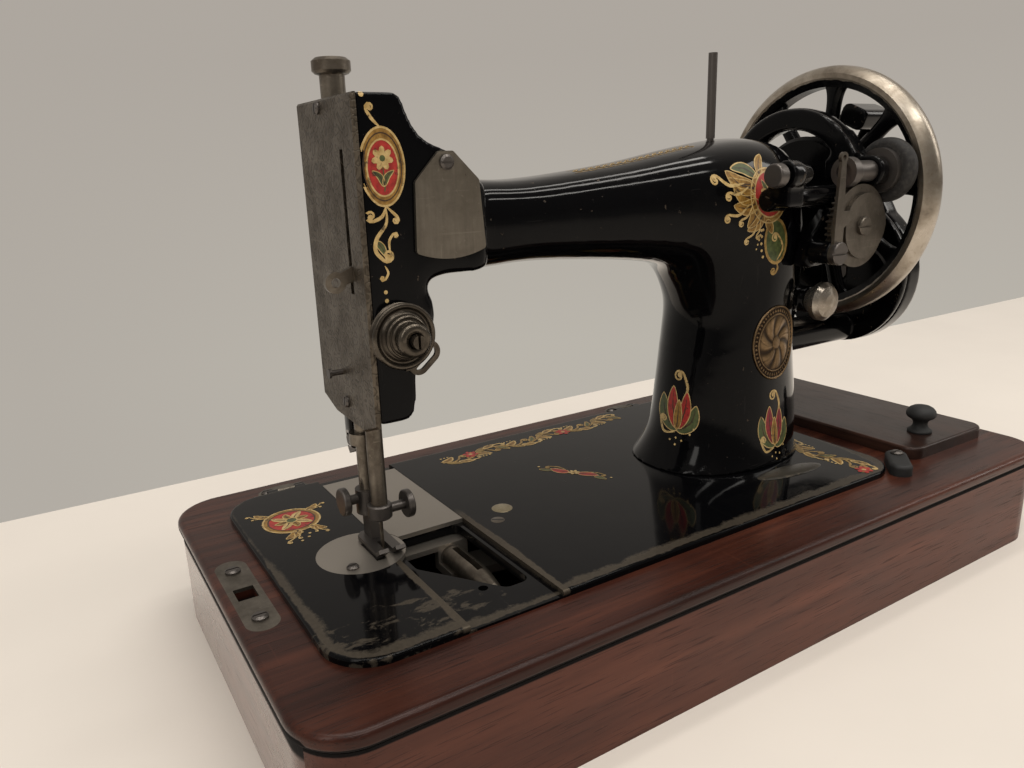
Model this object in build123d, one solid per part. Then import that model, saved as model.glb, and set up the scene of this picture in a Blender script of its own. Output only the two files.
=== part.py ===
from build123d import *
from math import copysign, cos, pi, radians, sin
import os

# Hand-crank vibrating-shuttle sewing machine on its wooden case base.
# Millimetres, +Z up, +X towards the handwheel, -Y towards the person who sews.
# The origin is the middle of the base's underside.

# Case base
base_length = 427.0
base_width = 212.0
base_height = 53.0
base_corner = 22.0
base_wall = 12.0
wall_setback = 1.5
top_board = 7.0
top_edge_round = 2.8
floor_board = 5.0
divider_thickness = 8.0
bed_from_left = 21.0
bed_from_front = 27.0
bed_from_back = 20.0

# Compartment lid at the right end
lid_from_right = 12.0
lid_from_front = 30.0
lid_from_back = 27.0
lid_from_bed = 16.0
lid_width = 70.0
lid_thickness = 6.5
lid_corner = 8.0
lid_edge_round = 1.5
lid_lap = 6.0
lid_hinge_gap = 5.0
lid_strip_length = 20.0
lid_leaf = 1.0
lid_leaf_reach = 13.0
lid_leaf_width = 20.0
lid_barrel_radius = 2.2
lid_hinge_spacing = 38.0
lid_knob_from_front = 16.0
lid_knob_aside = 4.8
lid_knob_radius = 8.0
lid_knob_height = 16.0
lid_knob_cover = 1.5

# Lock plate and turn-button
lock_from_left = 10.0
lock_from_middle = -3.0
lock_width = 13.0
lock_length = 62.0
lock_thickness = 1.6
lock_hole_width = 8.0
lock_hole_length = 10.0
lock_screw_spacing = 42.0
lock_mortise_depth = 25.0
button_from_bed = 6.0
button_from_front = 7.0
button_length = 26.0
button_width = 11.0
button_height = 6.0
button_turn = 41.5
button_overhang = 6.5

# Screws
screw_head_radius = 3.2
screw_head_height = 1.4
screw_shank_radius = 1.6
screw_shank_length = 5.0
screw_slot = 0.8

# Bed casting
bed_corner = 20.0
bed_lip = 3.0
bed_seat = 8.0
bed_web = 3.0
bed_edge_round = 1.2
opening_gap = 2.5
skirt_depth = 9.0
skirt_wall = 5.0
hinge_from_left = 33.0
hinge_from_right = 46.0
hinge_back = 2.0
hinge_barrel_radius = 1.45
hinge_barrel_length = 9.0
hinge_pin_radius = 0.8
hinge_ear = 5.0
hinge_leaf_length = 26.0
hinge_leaf_width = 13.0
hinge_leaf_thickness = 1.2
hinge_root = 0.5

# Needle plate, slide plate and shuttle opening
needle_plate_from_left = 38.0
needle_plate_back = 2.0
needle_plate_radius = 19.0
plate_thickness = 2.0
slide_left = 49.0
slide_width = 41.0
slide_behind_arm = 3.0
slide_from_back = 8.0
race_front_share = 0.243
race_wide_share = 0.703
race_rail = 3.5
race_end_width = 11.0
race_corner = 4.0
oil_hole_radius = 2.0
oil_hole_from_race = 5.0
plate_screw_left = 8.0
plate_screw_front = 11.0
plate_screw_radius = 2.6

# Head, arm and pillar
arm_forward = 5.5
shaft_height = 138.5
shaft_radius = 7.0
shaft_disc_thickness = 2.4
head_from_left = 40.5
head_half_width = 29.5
head_rise = 48.0
head_bottom = 67.0
head_wall = 6.0
cavity_depth = 15.5
pad_end = 92.5
pad_rise = 16.5
pad_drop = 17.5
pad_corner = 4.0
pillar_from_right = 57.5
pillar_half_length = 40.5
pillar_half_width = 32.0
foot_half_length = 48.5
foot_half_width = 38.0
foot_ring = 2.5
end_boss_radius = 17.0
end_boss_reach = 46.5
section_points = 16
section_power = 0.86
spool_pin_left = 11.5
spool_pin_radius = 2.2
spool_pin_length = 40.0
spool_tenon_radius = 1.7
spool_tenon_length = 9.0
spool_shoulder = 0.6

# Bars in the head
needle_from_left = 47.3
needle_forward = 3.0
bar_radius = 3.5
bar_spacing = 12.5
bar_guide_drop = 42.5
bar_guide_margin = 6.0
bar_guide_thickness = 10.0
needle_bar_bottom = 24.0
needle_bar_drop = 18.5
needle_radius = 0.8
needle_length = 32.0
clamp_radius = 5.2
clamp_height = 6.5
thumb_radius = 6.2
thumb_thickness = 3.2
thumb_stem_radius = 2.2
presser_bottom = 20.0
presser_rise = 11.5
spring_seat_drop = 20.5
spring_seat_thickness = 4.0
spring_top_rise = 33.5
spring_outer_radius = 5.5
lift_collar_height = 48.0
lift_collar_radius = 6.0
lift_collar_thickness = 5.0
lifter_pivot_height = 47.0
lifter_pivot_radius = 2.0
lifter_from_bar = 10.8
lifter_thickness = 3.5
lifter_ear_left = 3.0
lifter_ear_right = 1.8
lifter_ear_half = 4.0
lifter_ear_drop = 24.5
pressure_stem_radius = 4.8
pressure_head_radius = 7.4

# Face plate, arm cover, take-up, tension
face_thickness = 1.8
take_up_pivot_x = 80.0
take_up_pivot_rise = 1.5
take_up_pivot_radius = 2.5
take_up_eye_radius = 1.8
take_up_width = 5.0
take_up_reach = 51.6
take_up_angle = 21.6
take_up_thickness = 2.5
take_up_forward = 16.0
pocket_depth = 18.0
pocket_right = 6.0
window_left = 11.0
window_low = 29.0
window_high = 13.5
cover_thickness = 1.5
cover_screw_x = 73.0
cover_screw_rise = 24.0
tension_x = 50.5
tension_drop = 37.5
tension_disc_radius = 12.5
tension_stud_radius = 2.5
tension_stud_seat = 5.0
tension_stud_reach = 17.0

# Handwheel
wheel_from_pillar = 79.0
wheel_radius = 68.5
rim_width = 15.0
rim_depth = 7.5
web_depth = 3.5
spoke_count = 9
spoke_first_angle = 4.3
spoke_root = 6.5
spoke_waist = 4.2
spoke_flare = 9.5
spoke_depth = 3.6
hub_radius = 14.0
hub_reach = 20.0
pulley_radius = 31.8
pulley_width = 11.0

# Hand crank
gear_module = 1.4
crank_teeth = 48
pinion_teeth = 16
gear_width = 8.0
gear_from_wheel = 24.5
gear_gap = 0.5
cover_wall = 3.0
cover_radius = 42.5
bracket_thickness = 4.5
neck_height = 14.0
neck_width = 26.0
neck_drop = 33.7
neck_corner = 5.0
pinion_shaft_radius = 8.0
case_margin = 8.0
driver_thickness = 3.5
driver_reach = 45.0
driver_block_length = 15.5
driver_block_depth = 11.0
driver_block_width = 19.8
driver_block_corner = 3.5
crank_shaft_radius = 6.0
crank_arm_thickness = 5.0
crank_arm_width = 9.0
handle_from_axis_y = 53.0
handle_from_axis_z = 4.0
crank_bow_y = 24.5
crank_bow_z = 22.0
handle_stem_radius = 3.2
handle_length = 68.0
handle_radius = 10.5

# Bobbin winder
winder_forward = 47.0
winder_rise = 13.5
winder_pivot_back = 37.0
winder_pivot_rise = 8.5
winder_pivot_radius = 3.0
winder_lug_radius = 7.0
winder_lug_length = 14.0
arch_outer_radius = 46.5
arch_inner_radius = 35.0
arch_from_pillar = 47.0
arch_width = 11.0
tyre_radius = 16.0
tyre_width = 8.0
tyre_from_pillar = 62.0
tyre_bore = 6.0
spindle_radius = 3.0
spindle_flange = 11.0
spindle_bearing_radius = 7.5
spindle_cup_from_pillar = 31.5
spindle_cup_bore = 4.2
worm_radius = 5.2
worm_wheel_radius = 20.5
worm_wheel_from_pillar = 44.0
worm_wheel_drop = 26.4
cam_low = 13.0
cam_high = 19.2
cam_thickness = 1.8
worm_wheel_width = 5.0
worm_wheel_cheek = 1.4
worm_stud_radius = 3.0
worm_teeth = 40
guide_pivot_from_pillar = 22.0
guide_pivot_drop = 24.5
guide_length = 45.0
guide_thickness = 1.6
guide_eye_radius = 2.6
guide_eye_bore = 1.2
guide_stud_radius = 2.7
guide_screw_radius = 5.6
bobbin_pin_radius = 2.6
bobbin_pin_tip = 7.5
bobbin_pin_button = 5.5
pin_holder_from_pillar = 11.5
pin_holder_length = 11.0
pin_holder_radius = 6.6
pin_holder_nose = 4.0
pin_holder_taper = 16.0

# Stitch knob
stitch_from_pillar = 35.5
stitch_drop = 51.5
stitch_radius = 10.0
stitch_stem_radius = 3.0
stitch_stem_length = 14.0
stitch_boss_radius = 7.0
stitch_forward = 30.7
stitch_neck_radius = 6.5
stitch_neck_length = 3.3
stitch_dome = 9.0

# Shuttle and feed
shuttle_from_left = 79.0
shuttle_front_share = 0.365
shuttle_length_share = 0.622
shuttle_radius = 5.5
shuttle_pivot_from_pillar = 65.5
shuttle_pivot_share = 0.676
shuttle_stud_radius = 4.0
shuttle_boss_radius = 8.0
lever_thickness = 4.0
lever_left = 6.0
lever_right = 9.0
cradle_length = 12.0
cradle_half = 5.5
carrier_arm = 22.0
carrier_depth = 10.0
carrier_plate = 2.4
carrier_gap = 0.8
carrier_wall = 4.0
feed_width = 3.7
feed_length = 14.0
feed_from_needle = 4.6
feed_stroke = 2.0
feed_pitch = 1.4
feed_bar_drop = 4.0

# Clearances
running_fit = 0.05
seat_fit = 0.02
free_gap = 0.3

# Datums worked out from the sizes above
wood_top = base_height
bed_length = base_length - bed_from_left - lid_from_bed - lid_width - lid_from_right
bed_width = base_width - bed_from_front - bed_from_back
lid_length = base_width - lid_from_front - lid_from_back
pillar_from_left = bed_length - pillar_from_right
arm_from_front = bed_width / 2 - arm_forward
needle_from_front = arm_from_front - needle_forward
bed_left = -base_length / 2 + bed_from_left
bed_front = -base_width / 2 + bed_from_front
bed_top = wood_top + bed_lip
bed_under = wood_top - bed_web
bed_middle_x = bed_left + bed_length / 2
bed_middle_y = bed_front + bed_width / 2
bed_rear = bed_front + bed_width
arm_y = bed_front + arm_from_front
shaft_z = wood_top + shaft_height
pillar_x = bed_left + pillar_from_left
head_top = shaft_height + head_rise
needle_x = bed_left + needle_from_left
needle_y = bed_front + needle_from_front
needle_plate_y = needle_y + needle_plate_back
presser_y = needle_y + bar_spacing
feed_x = needle_x - feed_from_needle
head_left = bed_left + head_from_left
head_front = arm_y - head_half_width
head_back = arm_y + head_half_width
cavity_right = head_left + cavity_depth
hinge_y = bed_rear + hinge_back
hinge_z = wood_top + hinge_barrel_radius + running_fit
lid_right = base_length / 2 - lid_from_right
lid_middle_x = lid_right - lid_width / 2
lid_front = -base_width / 2 + lid_from_front
lid_back = lid_front + lid_length
lid_top = wood_top + lid_thickness
lid_axis_y = lid_back + lid_hinge_gap / 2
crank_distance = gear_module * (crank_teeth + pinion_teeth) / 2
crank_z = shaft_z - crank_distance
wheel_x = pillar_x + wheel_from_pillar
gear_left = wheel_x + gear_from_wheel
gear_right = gear_left + gear_width
bracket_right = gear_left - gear_gap
bracket_left = bracket_right - bracket_thickness
driver_right = bracket_left - gear_gap
driver_left = driver_right - driver_thickness
cover_right = gear_right + gear_gap + cover_wall
crank_arm_left = cover_right + gear_gap
crank_arm_right = crank_arm_left + crank_arm_thickness
rim_left = wheel_x - rim_width / 2
rim_right = wheel_x + rim_width / 2
winder_y = arm_y - winder_forward
winder_z = shaft_z + winder_rise
winder_pivot_y = arm_y + winder_pivot_back
winder_pivot_z = shaft_z + winder_pivot_rise
take_up_x = bed_left + take_up_pivot_x
take_up_y = arm_y - take_up_forward
take_up_z = shaft_z + take_up_pivot_rise
cover_x = bed_left + cover_screw_x
cover_z = shaft_z + cover_screw_rise
tension_z = shaft_z - tension_drop
lifter_y = presser_y + lifter_from_bar
lifter_z = wood_top + lifter_pivot_height
stitch_x = pillar_x + stitch_from_pillar
stitch_z = shaft_z - stitch_drop
stitch_seat = arm_y - stitch_forward
shuttle_pivot = (pillar_x - shuttle_pivot_from_pillar,
                 bed_front + shuttle_pivot_share * needle_from_front)
spool_x = pillar_x - spool_pin_left
parts = {}


def rod_x(x0, x1, y, z, radius):
    """Round bar along X."""
    bar = Cylinder(radius, x1 - x0, align=(Align.CENTER, Align.CENTER, Align.MIN))
    return Pos(x0, y, z) * Rot(0, 90, 0) * bar


def rod_y(y0, y1, x, z, radius):
    """Round bar along Y."""
    bar = Cylinder(radius, y1 - y0, align=(Align.CENTER, Align.CENTER, Align.MIN))
    return Pos(x, y0, z) * Rot(-90, 0, 0) * bar


def rod_z(z0, z1, x, y, radius):
    """Upright round bar."""
    bar = Cylinder(radius, z1 - z0, align=(Align.CENTER, Align.CENTER, Align.MIN))
    return Pos(x, y, z0) * bar


def block(x0, x1, y0, y1, z0, z1):
    """Box between two corners."""
    corner = (Align.MIN, Align.MIN, Align.MIN)
    return Pos(x0, y0, z0) * Box(x1 - x0, y1 - y0, z1 - z0, align=corner)


def slab_z(sketch, z0, z1):
    """Plate with a plan outline, between two heights."""
    return extrude(Pos(0, 0, z0) * sketch, z1 - z0)


def slab_x(sketch, x0, x1):
    """Plate with an outline in Y and Z, between two places along X."""
    plane = Plane(origin=(x0, 0, 0), x_dir=(0, 1, 0), z_dir=(1, 0, 0))
    return extrude(plane * sketch, x1 - x0)


def slab_y(sketch, y0, y1):
    """Plate with an outline in X and Z, between two places along Y."""
    plane = Plane(origin=(0, y1, 0), x_dir=(1, 0, 0), z_dir=(0, -1, 0))
    return extrude(plane * sketch, y1 - y0)


def outline(*points):
    """Filled polygon."""
    return make_face(Polyline(*points, close=True))


def turned_z(profile, x, y, z):
    """Solid turned about an upright axis from a profile of radius and height."""
    face = Plane.XZ * make_face(Polyline(*profile, close=True))
    return Pos(x, y, z) * revolve(face, Axis.Z)


def turned_x(profile, x, y, z):
    """Solid turned about an axis along X from a profile of radius and place."""
    return Pos(x, y, z) * Rot(0, 90, 0) * turned_z(profile, 0, 0, 0)


def turned_back(profile, x, y, z):
    """Solid turned about an axis along -Y from a profile of radius and reach."""
    return Pos(x, y, z) * Rot(90, 0, 0) * turned_z(profile, 0, 0, 0)


def slotted_screw(head_radius=screw_head_radius):
    """Domed slotted screw, head seat at the origin, shank downwards."""
    head = turned_z([(0, 0), (head_radius, 0), (head_radius, 0.5 * screw_head_height),
                     (0.7 * head_radius, screw_head_height), (0, screw_head_height)], 0, 0, 0)
    slot = block(-head_radius, head_radius, -screw_slot / 2, screw_slot / 2,
                 0.6 * screw_head_height, 2 * screw_head_height)
    return head - slot + rod_z(-screw_shank_length, 0, 0, 0, screw_shank_radius)


def shank_hole(x, y, z):
    """Hole for an upright screw whose head seats at the given height."""
    depth = screw_shank_length + free_gap
    return rod_z(z - depth, z, x, y, screw_shank_radius + seat_fit)


def thumb_screw(x_seat, x_head, y, z, side):
    """Thumb screw along X with its knurled head on one side."""
    low, high = sorted((x_seat, x_head))
    stem = rod_x(low, high, y, z, thumb_stem_radius)
    start = x_head if side > 0 else x_head - thumb_thickness
    head = rod_x(start, start + thumb_thickness, y, z, thumb_radius)
    head = fillet(head.edges().filter_by(GeomType.CIRCLE), 0.25 * thumb_thickness)
    return stem + head


def gear_outline(teeth, module, phase):
    """Straight-flanked spur gear outline with a tooth at the phase angle."""
    pitch_radius = module * teeth / 2
    step = 2 * pi / teeth
    flank = ((pitch_radius - 1.25 * module, 0.30), (pitch_radius, 0.205),
             (pitch_radius + 0.9 * module, 0.10))
    points = []
    for tooth in range(teeth):
        middle = radians(phase) + tooth * step
        for radius, share in flank:
            points.append((radius, middle - share * step))
        for radius, share in reversed(flank):
            points.append((radius, middle + share * step))
    return outline(*[(r * cos(a), r * sin(a)) for r, a in points])


def bed_plan(inset):
    """Bed outline drawn in by an inset."""
    corner = max(bed_corner - inset, 1.0)
    shape = RectangleRounded(bed_length - 2 * inset, bed_width - 2 * inset, corner)
    return Pos(bed_middle_x, bed_middle_y) * shape


def base_plan(inset):
    """Base outline drawn in by an inset."""
    corner = max(base_corner - inset, 1.0)
    return RectangleRounded(base_length - 2 * inset, base_width - 2 * inset, corner)


# Screws of the base: lock plate, hinge leaves and turn-button
lock_x = -base_length / 2 + lock_from_left
lock_y = lock_from_middle
hinge_places = [bed_left + hinge_from_left, bed_left + bed_length - hinge_from_right]
leaf_y = hinge_y + 0.5 * hinge_leaf_width - hinge_barrel_radius
leaf_screw_shift = 0.32 * hinge_leaf_length
base_screw_seats = [(lock_x, lock_y - lock_screw_spacing / 2, wood_top),
                    (lock_x, lock_y + lock_screw_spacing / 2, wood_top)]
for hinge_x in hinge_places:
    for side in (-1, 1):
        base_screw_seats.append((hinge_x + side * leaf_screw_shift, leaf_y, wood_top))
button_x = bed_left + bed_length + button_from_bed
button_y = bed_front + button_from_front
button_seat = (button_x, button_y, wood_top + button_height)


def base_boards():
    """Boards of the base: top, four walls, floor and compartment divider."""
    board_under = wood_top - top_board
    top = slab_z(base_plan(0), board_under, wood_top)
    rims = top.faces().sort_by(Axis.Z)[-1].edges() + top.faces().sort_by(Axis.Z)[0].edges()
    top = fillet(rims, top_edge_round)
    top -= slab_z(bed_plan(bed_seat - opening_gap), 0, base_height + bed_lip)
    hatch = Pos(lid_middle_x, (lid_front + lid_back) / 2) * RectangleRounded(
        lid_width - 2 * lid_lap, lid_length - 2 * lid_lap, lid_corner)
    top -= slab_z(hatch, 0, base_height + bed_lip)
    lock = Pos(lock_x, lock_y) * SlotOverall(lock_length, lock_width, 90)
    top -= slab_z(lock, wood_top - lock_thickness, wood_top + bed_lip)
    top -= block(lock_x - lock_hole_width / 2, lock_x + lock_hole_width / 2,
                 lock_y - lock_hole_length / 2, lock_y + lock_hole_length / 2, 0, wood_top + bed_lip)
    for hinge_x in hinge_places:
        leaf = Pos(hinge_x, leaf_y) * Ellipse(hinge_leaf_length / 2, hinge_leaf_width / 2)
        top -= slab_z(leaf, wood_top - hinge_leaf_thickness, wood_top + bed_lip)
    ring = slab_z(base_plan(wall_setback), 0, board_under)
    inner = (base_length / 2 - wall_setback - base_wall, base_width / 2 - wall_setback - base_wall)
    ring -= block(-inner[0], inner[0], -inner[1], inner[1], -1, base_height)
    ring -= block(lock_x - lock_hole_width / 2, lock_x + lock_hole_width / 2, lock_y - lock_hole_length / 2,
                  lock_y + lock_hole_length / 2, wood_top - lock_mortise_depth, wood_top)
    for seat in base_screw_seats + [(button_x, button_y, wood_top)]:
        hole = shank_hole(*seat)
        top -= hole
        ring -= hole
    reach = base_length
    parts["base_front"] = ring & block(-reach, reach, -reach, -inner[1], 0, base_height)
    parts["base_back"] = ring & block(-reach, reach, inner[1], reach, 0, base_height)
    parts["base_left_end"] = ring & block(-reach, -inner[0], -inner[1], inner[1], 0, base_height)
    parts["base_right_end"] = ring & block(inner[0], reach, -inner[1], inner[1], 0, base_height)
    parts["base_top"] = top
    parts["base_floor"] = block(-inner[0], inner[0], -inner[1], inner[1], 0, floor_board)
    divider_right = lid_middle_x - lid_width / 2 + lid_lap
    parts["compartment_divider"] = block(divider_right - divider_thickness, divider_right,
                                         -inner[1], inner[1], floor_board, board_under)


def base_metal():
    """Lock plate, bed hinge leaves, lid hinge leaves and straps, hinge pins, turn-button."""
    plate = slab_z(Pos(lock_x, lock_y) * SlotOverall(lock_length, lock_width, 90),
                   wood_top - lock_thickness, wood_top)
    plate -= block(lock_x - lock_hole_width / 2, lock_x + lock_hole_width / 2,
                   lock_y - lock_hole_length / 2, lock_y + lock_hole_length / 2, 0, wood_top + bed_lip)
    for seat in base_screw_seats:
        plate -= shank_hole(*seat)
    parts["lock_plate"] = plate

    leaves = []
    pins = []
    pin_half = hinge_barrel_length / 2 + running_fit + hinge_ear
    for hinge_x in hinge_places:
        oval = Pos(hinge_x, leaf_y) * Ellipse(hinge_leaf_length / 2, hinge_leaf_width / 2)
        leaf = slab_z(oval, wood_top - hinge_leaf_thickness, wood_top)
        barrel = rod_x(hinge_x - hinge_barrel_length / 2, hinge_x + hinge_barrel_length / 2,
                       hinge_y, hinge_z, hinge_barrel_radius)
        foot = block(hinge_x - hinge_barrel_length / 2, hinge_x + hinge_barrel_length / 2,
                     hinge_y, hinge_y + hinge_barrel_radius, wood_top - hinge_root, hinge_z)
        leaf = leaf + barrel + foot
        leaf -= rod_x(hinge_x - pin_half, hinge_x + pin_half, hinge_y, hinge_z,
                      hinge_pin_radius + seat_fit)
        for side in (-1, 1):
            leaf -= shank_hole(hinge_x + side * leaf_screw_shift, leaf_y, wood_top)
        leaves.append(leaf)
        pins.append(rod_x(hinge_x - pin_half, hinge_x + pin_half, hinge_y, hinge_z, hinge_pin_radius))
    parts["bed_hinge_leaves"] = Compound(children=leaves)

    strip_front = lid_back + lid_hinge_gap
    parts["lid_rear_strip"] = block(lid_right - lid_width, lid_right, strip_front,
                                    strip_front + lid_strip_length, wood_top, lid_top)
    fixed = []
    straps = []
    third = lid_leaf_width / 3
    for side in (-1, 1):
        centre = lid_middle_x + side * lid_hinge_spacing / 2
        low = centre - lid_leaf_width / 2
        high = centre + lid_leaf_width / 2
        pin_hole = rod_x(low, high, lid_axis_y, lid_top, hinge_pin_radius + seat_fit)
        leaf = block(low, high, strip_front, strip_front + lid_leaf_reach, lid_top, lid_top + lid_leaf)
        for start in (low, high - third):
            leaf += rod_x(start, start + third - running_fit, lid_axis_y, lid_top, lid_barrel_radius)
            leaf += block(start, start + third - running_fit, lid_axis_y, strip_front + lid_leaf,
                          lid_top, lid_top + lid_leaf)
        fixed.append(leaf - pin_hole)
        strap = block(low, high, lid_back - lid_leaf_reach, lid_back, lid_top, lid_top + lid_leaf)
        middle = (low + third + running_fit, high - third - running_fit)
        strap += rod_x(middle[0], middle[1], lid_axis_y, lid_top, lid_barrel_radius)
        strap += block(middle[0], middle[1], lid_back - lid_leaf, lid_axis_y, lid_top, lid_top + lid_leaf)
        straps.append(strap - rod_x(low, high, lid_axis_y, lid_top, hinge_pin_radius + running_fit))
        pins.append(rod_x(low, high, lid_axis_y, lid_top, hinge_pin_radius))
    parts["lid_hinge_leaves"] = Compound(children=fixed)
    parts["lid_hinge_straps"] = Compound(children=straps)
    parts["hinge_pins"] = Compound(children=pins)

    shape = RectangleRounded(button_length, button_width, button_width / 2 - 0.5)
    button = slab_z(Pos(button_overhang - button_length / 2, 0) * shape, 0, button_height)
    crown = button.faces().sort_by(Axis.Z)[-1].edges()
    button = fillet(crown, 0.35 * button_height)
    button -= rod_z(0, button_height, 0, 0, screw_shank_radius + running_fit)
    parts["turn_button"] = Pos(button_x, button_y, wood_top) * Rot(0, 0, button_turn) * button
    long_screw = slotted_screw() + rod_z(-button_height - screw_shank_length, 0, 0, 0,
                                         screw_shank_radius)
    screws = [Pos(*seat) * slotted_screw() for seat in base_screw_seats]
    parts["base_screws"] = Compound(children=screws + [Pos(*button_seat) * long_screw])


def compartment_lid():
    """Lid of the tool compartment with its turned knob."""
    board = Pos(lid_middle_x, (lid_front + lid_back) / 2) * RectangleRounded(
        lid_width, lid_length, lid_corner)
    lid = slab_z(board, wood_top, lid_top)
    lid = fillet(lid.faces().sort_by(Axis.Z)[-1].edges(), lid_edge_round)
    knob_x = lid_middle_x - lid_knob_aside
    knob_y = lid_front + lid_knob_from_front
    stem = 0.42 * lid_knob_radius
    spigot = lid_thickness - lid_knob_cover
    lid -= rod_z(lid_top - spigot, lid_top, knob_x, knob_y, stem + seat_fit)
    parts["compartment_lid"] = lid
    profile = [(0, -spigot), (stem, -spigot), (stem, 0), (0.8 * lid_knob_radius, 0),
               (0.75 * lid_knob_radius, 1.2), (0.45 * lid_knob_radius, 0.3 * lid_knob_height),
               (0.5 * lid_knob_radius, 0.48 * lid_knob_height),
               (lid_knob_radius, 0.66 * lid_knob_height), (lid_knob_radius, 0.8 * lid_knob_height),
               (0.7 * lid_knob_radius, 0.95 * lid_knob_height), (0, lid_knob_height)]
    parts["lid_knob"] = turned_z(profile, knob_x, knob_y, lid_top)


def bed_casting():
    """Bed plate with its lip, skirt, plate seats, shuttle opening and hinge ears."""
    bed = slab_z(bed_plan(0), wood_top, bed_top)
    bed = fillet(bed.faces().sort_by(Axis.Z)[-1].edges(), bed_edge_round)
    bed += slab_z(bed_plan(bed_seat), bed_under, wood_top)
    skirt = slab_z(bed_plan(bed_seat), bed_under - skirt_depth, bed_under)
    skirt -= slab_z(bed_plan(bed_seat + skirt_wall), bed_under - skirt_depth, bed_under)
    bed += skirt
    seat_z = bed_top - plate_thickness
    slide_x = bed_left + slide_left
    bed -= block(slide_x, slide_x + slide_width, bed_front - 1, bed_rear + 1, seat_z, bed_top + 1)
    plate_x = bed_left + needle_plate_from_left
    plate_y = needle_plate_y
    bed -= rod_z(seat_z, bed_top + 1, plate_x, plate_y, needle_plate_radius + running_fit)
    race_left = slide_x + race_rail
    race_right = slide_x + slide_width - race_rail
    slide_front = arm_y + slide_behind_arm
    race_front = bed_front + race_front_share * needle_from_front
    race_wide = bed_front + race_wide_share * needle_from_front
    race = outline((race_left, slide_front), (race_right, slide_front), (race_right, race_front),
                   (race_right - race_end_width, race_front), (race_left, race_wide))
    race = fillet(race.vertices(), race_corner)
    bed -= slab_z(race, 0, bed_top)
    bed -= rod_z(0, bed_top, slide_x + 0.45 * slide_width, race_front + oil_hole_from_race, oil_hole_radius)
    feed_half = feed_width / 2 + free_gap
    feed_reach = feed_length / 2 + feed_stroke + free_gap
    feed_room = feed_reach + free_gap
    bed -= block(feed_x - feed_half - free_gap, needle_x + 3 * needle_radius, needle_y - feed_room,
                 needle_y + feed_room, 0, bed_top)
    boss = rod_z(bed_under - skirt_depth, bed_under, *shuttle_pivot, shuttle_boss_radius)
    stud = rod_z(bed_under - skirt_depth - lever_thickness - 3, bed_under - skirt_depth,
                 *shuttle_pivot, shuttle_stud_radius)
    bed = bed + boss + stud
    ear_gap = hinge_barrel_length / 2 + running_fit
    for hinge_x in hinge_places:
        for side in (-1, 1):
            inner = hinge_x + side * ear_gap
            outer = inner + side * hinge_ear
            low, high = sorted((inner, outer))
            ear = rod_x(low, high, hinge_y, hinge_z, hinge_barrel_radius)
            ear += block(low, high, bed_rear - bed_edge_round - hinge_root, hinge_y,
                         hinge_z - hinge_barrel_radius, hinge_z + hinge_barrel_radius)
            bed += ear
        pin_half = ear_gap + hinge_ear
        bed -= rod_x(hinge_x - pin_half, hinge_x + pin_half, hinge_y, hinge_z,
                     hinge_pin_radius + running_fit)
        relief = hinge_barrel_radius + free_gap
        bed -= block(hinge_x - ear_gap, hinge_x + ear_gap, hinge_y - relief, hinge_y + relief,
                     wood_top, bed_top + 1)
    screw_x, screw_y = plate_x - plate_screw_left, plate_y - plate_screw_front
    bed -= shank_hole(screw_x, screw_y, bed_top)
    plate = rod_z(seat_z, bed_top, plate_x, plate_y, needle_plate_radius)
    plate -= shank_hole(screw_x, screw_y, bed_top)
    plate -= rod_z(seat_z, bed_top, needle_x, needle_y, 2 * needle_radius)
    plate -= block(feed_x - feed_half, feed_x + feed_half, needle_y - feed_reach, needle_y + feed_reach,
                   seat_z, bed_top)
    parts["needle_plate"] = plate
    parts["bed"] = bed
    slide = block(slide_x + free_gap, slide_x + slide_width - free_gap, slide_front,
                  bed_rear - slide_from_back, seat_z, bed_top)
    slide -= rod_z(seat_z, bed_top, plate_x, plate_y, needle_plate_radius + free_gap)
    parts["slide_plate"] = slide
    return Pos(screw_x, screw_y, bed_top) * slotted_screw(plate_screw_radius)


def arm_section(top, bottom, half_width):
    """Rounded section of the arm between two points of its side view."""
    middle_x = bed_left + (top[0] + bottom[0]) / 2
    middle_z = wood_top + (top[1] + bottom[1]) / 2
    run, rise = (top[0] - bottom[0]) / 2, (top[1] - bottom[1]) / 2
    points = []
    for step in range(section_points):
        angle = 2 * pi * step / section_points
        along = copysign(abs(cos(angle)) ** section_power, cos(angle))
        across = copysign(abs(sin(angle)) ** section_power, sin(angle))
        points.append((middle_x + along * run, arm_y + across * half_width, middle_z + along * rise))
    return Face(Wire([Edge.make_spline([Vector(*p) for p in points], periodic=True)]))


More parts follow.
